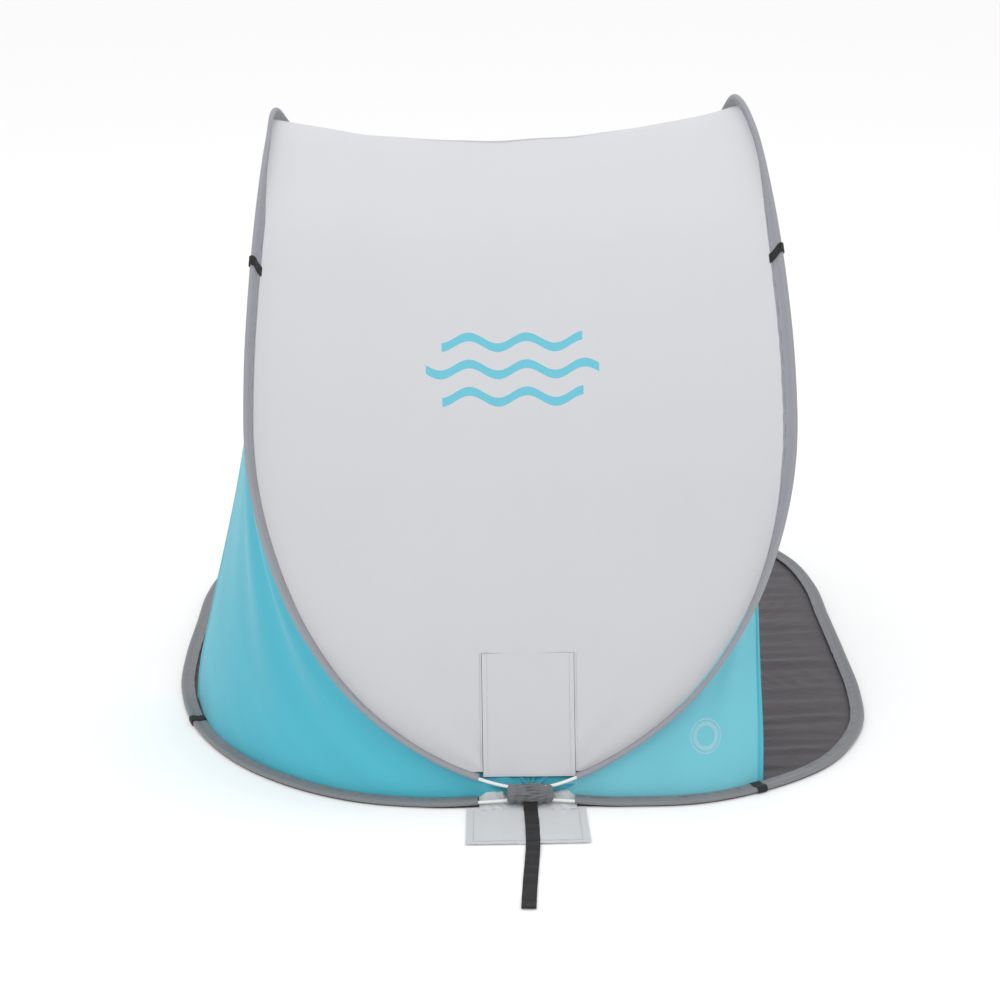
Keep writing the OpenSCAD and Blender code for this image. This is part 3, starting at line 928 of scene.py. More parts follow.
@dataclass
class Sleeves(Assembly):
    """The grey sleeves sewn round both hoops, their seams and the webbing bands on them."""

    spacing: float = 0.005
    seam_at: float = 0.0178       # the stitches, from the rod line
    neck: float = 0.0125          # where the layers meet, from the rod line
    flat_half: float = 0.0009     # half thickness of the sewn layers
    cloth_thick: float = 0.0005
    pucker: float = 0.00075
    band_gap: float = 0.0006
    band_thick: float = 0.0014
    band_girth: float = 0.066
    tail_from: float = 0.0215     # past this distance a band turns round the sleeve's inner edge
    ground: float = 0.0013        # lowest height of a band on the floor sleeve

    def half_thickness(self, across: Array) -> Array:
        """Half the sleeve's thickness at distances from the rod line."""
        over_rod = np.sqrt(np.clip(SLEEVE_R**2 - np.minimum(across, 0) ** 2, 0, None))
        lip = self.flat_half * (1 - 0.35 * bell((across - self.seam_at) / 0.0012))
        beside = lip + (SLEEVE_R - self.flat_half) * (1 - ease(across / self.neck))
        return np.where(across < 0, over_rod, beside)

    def section(self) -> tuple[Array, Array]:
        """Distances inward and signs of the outline's points, from tail to tail round the rod."""
        turn = np.linspace(math.pi, math.pi / 2, 6, endpoint=False)
        across = np.concatenate([
            SLEEVE_R * np.cos(turn), np.linspace(0, self.neck, 6, endpoint=False),
            np.array((self.neck, 0.0145, 0.0160)), self.seam_at + np.array((-0.0008, 0, 0.0008)),
            np.array((0.0202, TAIL_EDGE)),
        ])
        back = across[:0:-1]
        return np.concatenate([back, across]), np.concatenate([np.ones(len(back)), -np.ones(len(across))])

    def sleeve(self, name: str, track: Track, seed: int, strain: Array) -> Piece:
        """A sleeve along a track.

        Args:
            name: The piece's name.
            track: Where it runs.
            seed: Chooses its puckers.
            strain: How strongly it puckers at each ring, about 1.

        Returns:
            The sleeve.
        """
        across, sign = self.section()
        run, strain = track.run[:, None], strain[:, None]
        proud = self.half_thickness(across)[None] * sign[None]
        flat = ease((across[None] - 0.002) / 0.012)
        sway = ripples(run / 0.055, seed) * 0.8 * flat * strain
        by_seam = 0.25 + 0.75 * bell((across[None] - 0.013) / 0.006)
        tight = ripples(run / 0.0165 + across[None] / 0.045, seed + 1) * by_seam
        puffed = ripples(run / 0.028, seed + 2) * 0.5 * sign[None] * bell((across[None] - 0.006) / 0.006)
        held = 1 - bell((across[None] - TAIL_EDGE) / 0.003)
        waves = sway * held + (tight + puffed) * strain * held * flat.clip(0.25)
        reach = across[None] + ripples(run / 0.05, seed + 3) * 0.0004 * flat
        grid = track.lay(reach, proud + self.pucker * waves)
        girth = np.concatenate([[0], np.cumsum(np.hypot(np.diff(across), np.diff(proud[0])))])
        uv = paired(girth[None], run)
        return smooth(thicken(grid_piece(name, grid, uv), self.cloth_thick), 60)

    def seams(self, name: str, track: Track, faces: tuple[str, ...]) -> list[Piece]:
        """Rows of stitches on a sleeve's faces, out and in."""
        rows = []
        for label in faces:
            sign = 1 if label == "out" else -1
            proud = sign * (float(self.half_thickness(np.array([self.seam_at]))[0]) + 0.0001)
            line = track.point + track.inward * self.seam_at + track.out * proud
            piece = self.stitcher.sew(f"{name}_{label}", line, track.out * sign, length=0.0042, width=0.0009)
            rows.append(self.ready(piece, "dark_thread", "sleeve"))
        return rows

    def band(
        self, name: str, hoop: Hoop, t: float, half: float, floor: bool, slant: float,
    ) -> tuple[Piece, Piece]:
        """A webbing band round a sleeve, and its stitches.

        Args:
            name: The piece's name.
            hoop: Half hoop it is on.
            t: Place of its middle.
            half: Half its width, as a place.
            floor: Whether it lies on the ground, and is pressed flat underneath.
            slant: How far its inner edge runs ahead, as a place.

        Returns:
            The band and its stitches.
        """
        across, sign = self.section()
        grow = self.band_gap + 0.0004
        tail = across > self.tail_from
        grids = []
        for extra in (grow, grow + self.band_thick):
            wide = across + extra * np.where(across < 0, across / SLEEVE_R, 0) + np.where(tail, extra, 0)
            out = np.where(tail, 0.6 * extra * sign, (self.half_thickness(across) + extra) * sign)
            rings = []
            for ts in np.linspace(t - half, t + half, 13):
                local = ts + slant * (across - 0.009) / 0.028
                p, inward, normal = hoop.frames(local)
                rings.append(p + inward * wide[:, None] + normal * out[:, None])
            grids.append(np.array(rings))
        inner, outer = grids
        if floor:
            for g in grids:
                g[..., 2] = np.maximum(g[..., 2], self.ground)
        # Out over the outer face, round the edge, and back over the inner face
        edge = (inner + outer) / 2
        rows = np.concatenate([outer, edge[-1:], inner[::-1], edge[:1]])
        closed = np.concatenate([rows, rows[:1]])
        along = np.linspace(0, 1, len(closed))[:, None] * 2 * half * HOOP_HALF
        uv = paired(along, np.cumsum(np.full(len(across), 0.0022))[None])
        count = len(across)
        faces = cell_faces(len(rows) + 1, count, wrap=True) % (len(rows) * count)
        piece = mesh_piece(name, rows.reshape(-1, 3), faces.tolist(), uv[:-1].reshape(-1, 2))
        smooth(recalculated(piece), 40)
        p, inward, normal = hoop.frames(np.linspace(t - half * 0.75, t + half * 0.75, 8))
        spot = self.seam_at - 0.004
        proud = float(self.half_thickness(np.array([spot]))[0]) + grow + self.band_thick
        line = p + inward * spot + normal * proud
        sewn = self.stitcher.sew(f"{name}_stitches", line, normal, 0.0034, 0.0026, 0.0006)
        self.ready(piece, "webbing", "webbing")
        self.ready(sewn, "black_thread", "webbing")
        return piece, sewn

    def strain_of(self, track: Track) -> Array:
        """Stronger puckers where the hoop bends tightly."""
        ahead = unit(np.gradient(track.point, axis=0))
        bend = np.linalg.norm(np.gradient(ahead, axis=0), axis=1) / np.maximum(np.gradient(track.run), 1e-6)
        return 0.6 + 0.9 * ease((bend - 1.2) / 4)

    def build(self) -> None:
        """Make both sleeves with their seams and bands."""
        track = Track.round(FLOOR_HOOPS[Side.RIGHT], FLOOR_HOOPS[Side.LEFT], FLOOR_SLEEVE_START, self.spacing)
        sewn = self.seams("floor_seam", track, ("out",))
        floor = self.sleeve("floor_sleeve_cloth", track, 11, self.strain_of(track))
        self.ready(floor, "floor_sleeve", "sleeve", "floor_sleeve_right", "floor_sleeve_left")
        for piece in (floor, *sewn):
            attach(piece, "base")
        flat = (SLEEVE_GIRTH, float(track.run[-1]))
        track = Track.round(CANOPY_HOOPS[Side.RIGHT], CANOPY_HOOPS[Side.LEFT], SLEEVE_START, self.spacing)
        sewn = self.seams("canopy_seam", track, ("out", "in"))
        canopy = self.sleeve("canopy_sleeve_cloth", track, 31, self.strain_of(track) * 0.8)
        self.ready(canopy, "sleeve", "sleeve", "canopy_sleeve_right", "canopy_sleeve_left", "visor_sleeve")
        for piece in (canopy, *sewn):
            self.over_horns(piece)
        flat = (SLEEVE_GIRTH, float(track.run[-1]))
        for side, foot, guy in ((Side.LEFT, 0.408, 0.516), (Side.RIGHT, 0.252, 0.521)):
            for kind, node, hoops, t, half, body, slant in (
                ("peg", "floor_loop", FLOOR_HOOPS, foot, 0.0045, "base", 0.0),
                ("guy", "canopy_loop", CANOPY_HOOPS, guy, 0.0033, "canopy", -0.006),
            ):
                label = side.name.lower()
                band, threads = self.band(f"{kind}_band_{label}", hoops[side], t, half, body == "base", slant)
                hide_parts(f"{node}_{label}")
                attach(band, body)
                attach(threads, body)
                flat = (2 * half * HOOP_HALF, self.band_girth)


@dataclass
class Canopy(Assembly):
    """The silver panel over the canopy hoop, with the free tongue above the hub."""

    dip: float = 0.080
    thick: float = 0.0007
    tongue_half: float = 0.0855
    slit: float = 0.0008
    foot: float = 0.06
    tongue_foot: float = 0.046
    tongue_top: float = 0.215
    front: float = 0.972
    rows: tuple[int, int, int] = (46, 110, 74)    # beside the tongue, above it, and in the visor
    cols: tuple[int, int] = (44, 26)              # at each side, and over the tongue

    def inside(self, t: Array) -> Array:
        """Directions into the shelter, square to the hoop in the side view."""
        t = np.minimum(t, 0.985)
        hoop = CANOPY_HOOPS[Side.RIGHT]
        dir_ = unit(hoop.along(t + STEP) - hoop.along(t - STEP))
        return unit(np.stack([np.zeros_like(t), dir_[..., 2], -dir_[..., 1]], axis=-1))

    def edge(self, side: Side, t: Array) -> Array:
        """Points where one edge of the panel is sewn in."""
        return CANOPY_HOOPS[side].place(t, PANEL_EDGE, 0.0)

    def share_at(self, t: Array, x: Array | float) -> Array:
        """Sideways places of given X as shares from -1 at the left edge to 1 at the right."""
        left, right = self.edge(Side.LEFT, t)[:, 0], self.edge(Side.RIGHT, t)[:, 0]
        return 2 * (x - left) / (right - left) - 1

    def sheet_at(self, t: Array, share: Array) -> Array:
        """Points of the panel.

        Args:
            t: Places along the hoop, (n,).
            share: Sideways places from -1 to 1, (n, m).

        Returns:
            Points, (n, m, 3).
        """
        left, right = self.edge(Side.LEFT, t)[:, None], self.edge(Side.RIGHT, t)[:, None]
        sag = self.dip * np.sin(math.pi * t) ** 2
        depth = sag[:, None] * (1 - share**2)
        across = (share[..., None] + 1) / 2
        return left * (1 - across) + right * across + self.inside(t)[:, None] * depth[..., None]

    def relief(self, x: Array, run: Array, share: Array, t: Array) -> Array:
        """How far the cloth stands off its smooth surface."""
        # Slack over the middle, creases from the horns, and a swell above the hub
        calm = 1 - share**2
        broad = 0.0016 * folds(x / 0.23, run / 0.5, 5) * calm
        pull = 0.0022 * ease((np.abs(share) - 0.55) / 0.4) * calm * 3
        horns = bell((t - HORN + 0.03) / 0.10)
        creases = pull * np.sin(44 * (t + 0.10 * np.abs(share)) + 2 * share) * horns
        low = 0.0018 * bell((t - 0.12) / 0.09) * np.sin(16 * share) * calm
        return broad + creases + low

    def columns(self, t: Array, split: Array, side_cols: int, mid_cols: int) -> Array:
        """Sideways places, with columns on the lines at +-split beside the hub."""
        out = np.linspace(0, 1, side_cols + 1)[None]
        mid = np.linspace(0, 1, mid_cols + 1)[None]
        low = self.share_at(t, HUB_SHIFT - split)[:, None]
        high = self.share_at(t, HUB_SHIFT + split)[:, None]
        spans = -1 + (1 + low) * out[:, :-1], low + (high - low) * mid[:, :-1], high + (1 - high) * out
        return np.concatenate(spans, axis=1)

    def middle_run(self, t: Array) -> Array:
        """The distance run along the panel's middle."""
        return run_along(self.sheet_at(t, np.zeros((len(t), 1)))[:, 0])

    def cloth(self, name: str, t: Array, share: Array, gone: Array) -> Piece:
        """The panel's cloth, without the cells that are gone."""
        points = self.sheet_at(t, share)
        run = self.middle_run(t) + self.middle_run(np.linspace(0.0, t[0], 40))[-1]
        grid_run = np.broadcast_to(run[:, None], share.shape)
        height = self.relief(points[..., 0], grid_run, share, t[:, None])
        points = points - self.inside(t)[:, None] * height[..., None]
        uv = np.stack([points[..., 0], grid_run], axis=-1)
        return grid_piece(name, points, uv, gone)

    def slit_row(self, name: str, t: Array, share: Array, proud: float) -> Piece:
        """A row of stitches over the panel's outer face."""
        line = self.sheet_at(t, share)[:, 0] - self.inside(t) * proud
        height = self.relief(line[:, 0], np.zeros(len(t)), share[:, 0], t)
        return self.stitcher.sew(name, line - self.inside(t) * height[:, None], -self.inside(t), width=0.0006)

    def build(self) -> None:
        """Make the panel and the tongue."""
        side_cols, mid_cols = self.cols
        low, middle, visor = self.rows
        t = np.concatenate([
            np.linspace(self.foot, self.tongue_top, low, endpoint=False),
            np.linspace(self.tongue_top, HORN, middle, endpoint=False), np.linspace(HORN, self.front, visor),
        ])
        wide = np.full(len(t), self.tongue_half + self.slit)
        past = ease((t - self.tongue_top) / (self.front - self.tongue_top))
        upper = wide * (1 - past) + past * self.edge(Side.RIGHT, t)[:, 0] / 3
        split = np.where(t <= self.tongue_top, wide, upper)
        share = self.columns(t, split, side_cols, mid_cols)
        gone = np.zeros((len(t) - 1, share.shape[1] - 1), bool)
        gone[:low, side_cols:side_cols + mid_cols] = True
        panel = self.cloth("canopy_cloth", t, share, gone)
        panel = thicken(panel, self.thick)
        self.ready(smooth(panel, 60), "canopy", "canopy", "canopy_panel", "visor_panel")
        self.dresser.line(panel, "tongue", (0, 0.55, 0.5))
        self.over_horns(panel)
        run = float(self.middle_run(t)[-1])
        slit_t = np.linspace(self.foot + 0.004, self.tongue_top, 60)
        for side in Side:
            label = side.name.lower()
            x = HUB_SHIFT + side.value * (self.tongue_half + self.slit + 0.004)
            share_line = self.share_at(slit_t, x)[:, None]
            row = self.slit_row(f"slit_stitches_{label}", slit_t, share_line, 0.0005)
            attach(self.ready(row, "pale_thread", "canopy"), "canopy")
        self.build_tongue()

    def build_tongue(self) -> None:
        """Make the free tongue with its hem."""
        t = np.linspace(self.tongue_foot, self.tongue_top, 58)
        columns = HUB_SHIFT + self.tongue_half * np.linspace(-1, 1, 41)
        share = np.stack([self.share_at(t, x) for x in columns], axis=1)
        points = self.sheet_at(t, share)
        # The hem hangs free and ripples a little, and its sides curl outward
        loose = ease((0.12 - t) / 0.09)[:, None]
        x = points[..., 0]
        wave = loose * (0.0022 * np.sin(x / 0.017 + 0.6) + 0.0016 * np.sin(x / 0.041))
        points = points - self.inside(t)[:, None] * (wave + 0.0012)[..., None]
        centre = points[:, 20]
        run = run_along(centre)
        uv = np.stack([x, np.broadcast_to(run[:, None], x.shape)], axis=-1)
        tongue = thicken(grid_piece("tongue_cloth", points, uv), self.thick)
        self.ready(smooth(tongue, 60), "tongue", "canopy", "panel_tongue")
        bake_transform(tongue)
        for label, line in (("hem", points[2]), ("left", points[:, 2]), ("right", points[:, -3])):
            face = np.broadcast_to(np.array((0, -0.9, 0.3)), line.shape)
            line = line + unit(face) * 0.0006
            row = self.stitcher.sew(f"tongue_stitches_{label}", line, face, width=0.0006)
            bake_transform(self.ready(row, "pale_thread", "canopy"))


@dataclass
class Walls(Assembly):
    """The turquoise side walls and the gathered gusset behind the tongue."""

    thick: float = 0.0006
    hem_w: float = 0.012
    rows: int = 110
    cols: int = 64
    feet: tuple[tuple[Side, float, float], ...] = ((Side.LEFT, 0.455, 0.034), (Side.RIGHT, 0.262, 0.004))
    head: float = 0.63
    head_len: float = 0.03
    floor_start: float = 0.036
    canopy_start: float = 0.020
    low_in: float = 0.024         # the wall's edges, inward of the floor and canopy rods
    high_in: float = 0.008
    behind: float = -0.003        # and on the inner face of their sleeves
    corner_fade: int = 30         # how quickly the edge leaves the corner by the hub
    curve_fade: float = 2.6       # how quickly the floor edge's curve is lost upward
    fold_depth: dict[Side, float] = field(
        default_factory=lambda: {Side.LEFT: 0.0050, Side.RIGHT: 0.0028},
    )
    # The gusset's profile beside the hub, from its foot up
    gusset_z: tuple[float, ...] = (0.013, 0.026, 0.034, 0.048, 0.0625, 0.081, 0.115, 0.150)
    gusset_y: tuple[float, ...] = (0.009, 0.015, 0.026, 0.046, 0.057, 0.068, 0.087, 0.105)
    # From where to where a wall turns with the canopy, when that comes down
    creases: dict[Side, tuple[Triple, Triple]] = field(default_factory=lambda: {
        Side.LEFT: ((-0.1615, 0.1938, -0.3230), (-0.0093, 0.0112, -0.0186)),
        Side.RIGHT: ((0, 0, 0.006), (0, 0, 0.060)),
    })

    def wall_points(self, side: Side, foot: float, bow: float, u: Array, v: Array) -> Array:
        """Points of a wall, between the canopy hoop, the floor hoop and the free edge.

        Args:
            side: Which wall.
            foot: Place of its foot on the floor hoop.
            bow: How far its free edge bends inward.
            u: Shares along the floor, (m,).
            v: Shares up the wall, (n,).

        Returns:
            Points, (n, m, 3).
        """
        hoop, floor = CANOPY_HOOPS[side], FLOOR_HOOPS[side]

        def low(share: Array) -> Array:
            """The bottom edge, beside the floor hoop."""
            t = self.floor_start + (foot - self.floor_start) * share
            return floor.place(t, self.low_in, self.behind)

        def high(t: Array) -> Array:
            """The edge behind the canopy sleeve."""
            return hoop.place(t, self.high_in, self.behind)

        corner, foot_end = low(np.array([0.0]))[0], low(np.array([1.0]))[0]
        top_end = high(np.array([self.head + self.head_len]))[0]
        bottom = low(u)
        top = high(self.head + self.head_len * u)
        left = high(self.canopy_start + (self.head - self.canopy_start) * v)
        to_corner = corner - high(np.array([self.canopy_start]))[0]
        left = left + ((1 - v) ** self.corner_fade)[:, None] * to_corner
        chord = foot_end * (1 - v)[:, None] + top_end * v[:, None]
        right = chord - bow * (np.sin(math.pi * v) ** 2)[:, None] * np.array((side.value, 0.35, 0))
        uu, vv = u[None, :, None], v[:, None, None]
        # The floor edge's own curve fades quickly upward, so that the cloth stays taut
        low_chord, high_chord = corner * (1 - uu) + foot_end * uu, top[0] * (1 - uu) + top[-1] * uu
        curved = (bottom[None] - low_chord) * (1 - vv) ** self.curve_fade + (top[None] - high_chord) * vv
        return left[:, None] * (1 - uu) + right[:, None] * uu + curved

    def wall(self, side: Side, foot: float, bow: float) -> None:
        """Make one wall with its hem and stitches."""
        label = side.name.lower()
        u, v = np.linspace(0, 1, self.cols), np.linspace(0, 1, self.rows) ** 1.6
        points = self.wall_points(side, foot, bow, u, v)
        across = np.cross(np.gradient(points, axis=1), np.gradient(points, axis=0))
        face = unit(across) * side.value
        uu, vv = u[None], v[:, None]
        calm = np.sin(math.pi * np.clip(vv, 0, 1)) ** 0.7 * ease(uu / 0.15) * (1 - 0.6 * uu**4)
        relief = self.fold_depth[side] * folds(uu * 3.1, vv * 1.1, 41 + side.value, lean=0.35) * calm
        near_foot = np.exp(-(((1 - uu) / 0.25) ** 2) - (vv / 0.10) ** 2)
        relief = relief + 0.004 * near_foot * np.sin(18 * uu + 25 * vv)
        points = points + face * relief[..., None]
        width = np.linalg.norm(np.diff(points, axis=1), axis=2).cumsum(axis=1)
        height = np.linalg.norm(np.diff(points, axis=0), axis=2).cumsum(axis=0)
        uv = np.zeros((*points.shape[:2], 2))
        uv[:, 1:, 0], uv[1:, :, 1] = width, height
        flat = uv[..., 0].max() * 0.86, uv[..., 1].max() * 0.9
        if side is Side.RIGHT:
            uv = points[..., [0, 2]]
        cloth = grid_piece(f"side_wall_{label}", points, uv)
        area = open_area(cloth)
        wall = smooth(thicken(cloth, self.thick), 60)
        self.ready(wall, f"wall_{label}", "wall", f"wall_{label}")
        breadth = np.linalg.norm(np.gradient(points, axis=1)[:, -1], axis=1) * (self.cols - 1)
        hem_u = 1 - self.hem_w / np.maximum(breadth, 0.02)
        inner = np.vstack([read_at(np.array([h]), u, row) for h, row in zip(hem_u, points)])
        strips = []
        for layer, sign in (("out", 1), ("in", -1)):
            edge_face = face[:, -1] * sign
            bulge = np.array((0.0004, 0.0012, 0.0013, 0.0012, 0.0002))[None, :, None] * edge_face[:, None]
            share = np.array((0.0, 0.08, 0.5, 0.92, 1.02))[None, :, None]
            strip = inner[:, None] * (1 - share) + points[:, -1][:, None] * share + bulge
            run = run_along(points[:, -1])
            strip_uv = paired(share[..., 0] * self.hem_w, run[:, None])
            piece = smooth(thicken(grid_piece(f"wall_hem_{label}_{layer}", strip, strip_uv), 0.0003), 60)
            strips.append(self.ready(piece, "wall_left", "wall"))
        line = inner * 0.75 + points[:, -1] * 0.25 + face[:, -1] * 0.0016
        row = self.stitcher.sew(f"wall_stitches_{label}", line, face[:, -1], width=0.0006)
        strips.append(self.ready(row, "blue_thread", "wall"))
        for piece in (wall, *strips):
            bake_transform(piece)
        box = (max(flat[0], area / flat[1] * 1.02), flat[1])

    def gusset(self) -> None:
        """Make the gathered gusset."""
        x = np.linspace(-0.100, 0.100, 141)[None]
        rise = np.linspace(0, 1, 70)[:, None]
        rod, _, _ = CANOPY_HOOPS[Side.RIGHT].frames(np.linspace(0, 0.09, 40))
        low = np.interp(np.abs(x), rod[:, 0] - rod[0, 0], rod[:, 2]) - 0.017
        z = low + (self.gusset_z[-1] - low) * rise
        y = np.interp(z, self.gusset_z, self.gusset_y)
        # Pleats fan out from the middle of the wrap
        turn = np.arctan2(x, z - 0.016)
        reach = np.hypot(x, z - 0.016)
        pleats = 0.0034 * np.sin(turn * 12 + 0.9 * np.sin(turn * 3)) + 0.0014 * np.sin(turn * 25 + 1.0)
        depth = pleats * ease(reach / 0.03) * (0.3 + 0.7 * bell(reach / 0.08))
        swell = -0.003 * np.sin(x / 0.026 + 0.7) * bell((z - 0.052) / 0.02)
        points = np.stack([np.broadcast_to(x + HUB_SHIFT, z.shape), y + depth + swell, z], axis=-1)
        x = points[..., 0]
        uv = np.stack([x, z], axis=-1)
        cloth = grid_piece("gathered_gusset", points, uv)
        piece = smooth(thicken(cloth, self.thick), 60)
        self.ready(piece, "gusset", "wall", "rear_gusset")
        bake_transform(piece)

    def build(self) -> None:
        """Make both walls and the gusset."""
        for side, foot, bow in self.feet:
            self.wall(side, foot, bow)
        self.gusset()


@dataclass
class Groundsheet(Assembly):
    """The dark floor, sewn under the floor sleeve."""

    thick: float = 0.0006
    margin: float = 0.002
    rings: int = 74

    def build(self) -> None:
        """Make the floor with its creases."""
        halves = []
        for side in (Side.RIGHT, Side.LEFT):
            t = np.linspace(0, 1, 180) if side is Side.RIGHT else np.linspace(1, 0, 180)
            p, inward, _ = FLOOR_HOOPS[side].frames(t)
            halves.append((p - inward * self.margin)[:-1, :2])
        outline = np.vstack(halves)
        share = np.linspace(0, 1, self.rings) ** 0.8
        middle = np.array((0.0, 0.62))
        flat = middle + (outline - middle)[None] * share[1:, None, None]
        x, y = flat[..., 0], flat[..., 1]
        near_edge = ease((1 - share[1:, None]) / 0.10)
        # Long creases run across, closer together towards the front corners
        rough = folds(y / 0.052 + 0.25 * np.sin(x * 5), x / 0.3, 71, lean=0.18)
        fine = folds(y / 0.021 + 0.4 * np.sin(x * 9), x / 0.12, 72, lean=0.3)
        zone = 0.35 + 0.65 * ease((np.abs(x) - 0.25) / 0.3)
        height = (0.0017 * rough + 0.0008 * fine) * near_edge * zone
        z = 0.0004 + np.maximum(height + 0.0016 * near_edge, 0) * 1.15
        rows, cols = x.shape
        centre = np.array([[middle[0], middle[1], 0.0016]])
        points = np.vstack([centre, np.stack([x, y, z], axis=-1).reshape(-1, 3)])
        fan = [[0, 1 + k, 1 + (k + 1) % cols] for k in range(cols)]
        faces = fan + (cell_faces(rows, cols, wrap=True) + 1).tolist()
        floor = recalculated(mesh_piece("floor_cloth", points, faces, points[:, :2]))
        smooth(thicken(floor, self.thick), 60)
        self.ready(floor, "floor", "groundsheet", "groundsheet")
        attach(floor, "base")


@dataclass
class Hub(Assembly):
    """The gathered wrap over the crossing rods, with its strap, cover flap and backing."""

    half_len: float = 0.042
    centre_z: float = 0.0205
    radius: float = 0.0174
    webbing_w: float = 0.026
    webbing_t: float = 0.0016
    turned_y: float = -0.310      # where the strap's turned end starts
    # Y and Z along the strap's root, from the ground up into the wrap
    root_line: tuple[tuple[float, float], ...] = (
        (-0.0300, 0.0030), (-0.0262, 0.0042), (-0.0228, 0.0075), (-0.0195, 0.0105), (-0.0150, 0.0130),
        (-0.0100, 0.0140), (0.0100, 0.0140),
    )
    # Y and X along the strap
    strap_line: tuple[tuple[float, float], ...] = (
        (0, 0.0080), (-0.080, 0.0092), (-0.135, 0.0088), (-0.18, 0.0060), (-0.23, 0.0018), (-0.29, -0.0030),
        (-0.346, -0.0066),
    )
    # Y and Z of the backing, from the flap's root forward
    backing_line: tuple[tuple[float, float], ...] = (
        (-0.026, 2.4e-3), (-0.010, 2.6e-3), (0.002, 3.5e-3), (0.010, 9e-3), (0.015, 17e-3), (0.022, 19e-3),
        (0.027, 15e-3),
    )

    def row(self, name: str, line: Array, finish: str, slot: str, *sizes: float) -> Piece:
        """A row of stitches that faces up, of a given pitch, length and width."""
        sewn = self.stitcher.sew(name, line, np.broadcast_to(UP, line.shape), *sizes)
        return self.ready(sewn, finish, slot)

    def wrap(self) -> None:
        """Make the gathered wrap."""
        x = np.linspace(-self.half_len, self.half_len, 97)[:, None]
        turn = np.linspace(0, 2 * math.pi, 145)[None, :-1]
        k = x / self.half_len
        body = self.radius * (1 - 0.13 * np.abs(k) ** 2.2) * (1 + 0.05 * np.sin(5.5 * k + 0.4))
        waist = 1 - 0.07 * bell(k / 0.34)
        mouth = ease((1 - np.abs(k)) / 0.05) * 0.12 + 0.88
        pleats = 0.0016 * np.sin(17 * turn + 2.2 * np.sin(3 * turn + 4 * k)) * bell(k / 0.55)
        ruche = 0.0015 * np.sin(15 * k + 1.3 * np.sin(2 * turn) + 0.8) * (0.4 + 0.6 * ease(np.abs(k) / 0.4))
        lumps = 0.0010 * folds(turn * 1.6, k * 2.4, 91)
        # Equal at both ends of the turn
        lumps = lumps * np.sin(turn / 2) ** 0.5
        tied = 0.0012 * np.sin(21 * turn + 1.5 * np.sin(4 * turn)) * bell(k / 0.22)
        r = body * waist * mouth + pleats + ruche + lumps + tied
        y, z = r * np.sin(turn) * 1.02, r * np.cos(turn)
        grid = np.stack([np.broadcast_to(x + HUB_SHIFT, r.shape), y, z + self.centre_z], axis=-1)
        uv = paired(turn * self.radius, x)
        faces = cell_faces(*r.shape, wrap=True).tolist()
        shell = mesh_piece("hub_gather", grid.reshape(-1, 3), faces, uv.reshape(-1, 2))
        recalculated(shell)
        shell = smooth(thicken(shell, 0.0009), 60)
        self.ready(shell, "hub", "hub_wrap", "hub_wrap")
        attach(shell, "base")

    def strap_root(self) -> None:
        """Make the webbing sewn into the wrap, whose tail leads to the fold strap."""
        path = resampled([(0, y, z) for y, z in self.root_line], 0.0012, 2) + np.array((HUB_SHIFT, 0, 0))
        across = np.broadcast_to(np.array((1.0, 0, 0)), path.shape)
        piece = webbing_strip("strap_root_webbing", path, across, self.webbing_w, self.webbing_t)
        self.ready(piece, "webbing", "webbing", "strap_anchor")
        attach(piece, "base")

    def strap(self) -> None:
        """Make the fold strap that lies over the flap and the ground."""
        y = np.linspace(-0.0275, -0.3455, 260)
        x = np.interp(-y, [-at for at, _ in self.strap_line], [x for _, x in self.strap_line])
        kernel = np.hanning(41) / np.hanning(41).sum()
        x = np.convolve(np.pad(x, 20, mode="edge"), kernel, mode="valid")
        slack = 0.0012 * np.abs(ripples(y / 0.07, 55)) * ease((-0.04 - y) / 0.03)
        z = 0.0013 + 0.0013 * ease((y + 0.205) / 0.03) + slack
        path = np.stack([x, y, z], axis=1)
        tilt = 0.06 * ripples(y / 0.09, 57) * ease((-0.05 - y) / 0.05)
        ahead = unit(np.gradient(path, axis=0))
        across = unit(np.cross(ahead, np.stack([np.sin(tilt), np.zeros_like(tilt), np.cos(tilt)], axis=1)))
        body = webbing_strip("fold_strap_webbing", path, across, self.webbing_w, self.webbing_t)
        end = path[y < self.turned_y] + UP * self.webbing_t * 0.96
        end_across = across[y < self.turned_y]
        narrow = self.webbing_w - 0.0006
        fold = webbing_strip("fold_strap_turned_end", end, end_across, narrow, self.webbing_t)
        sewn = []
        for label, place in (("near", 4), ("far", -6)):
            line = end[place] + end_across[place] * np.linspace(-0.010, 0.010, 9)[:, None] + UP * 0.0009
            name = f"strap_stitches_{label}"
            sewn.append(self.row(name, line, "black_thread", "webbing", 0.0030, 0.0024, 0.0007))
        self.ready(body, "webbing", "webbing", "fold_strap")
        self.ready(fold, "webbing", "webbing")
        for piece in (body, fold, *sewn):
            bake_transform(piece)

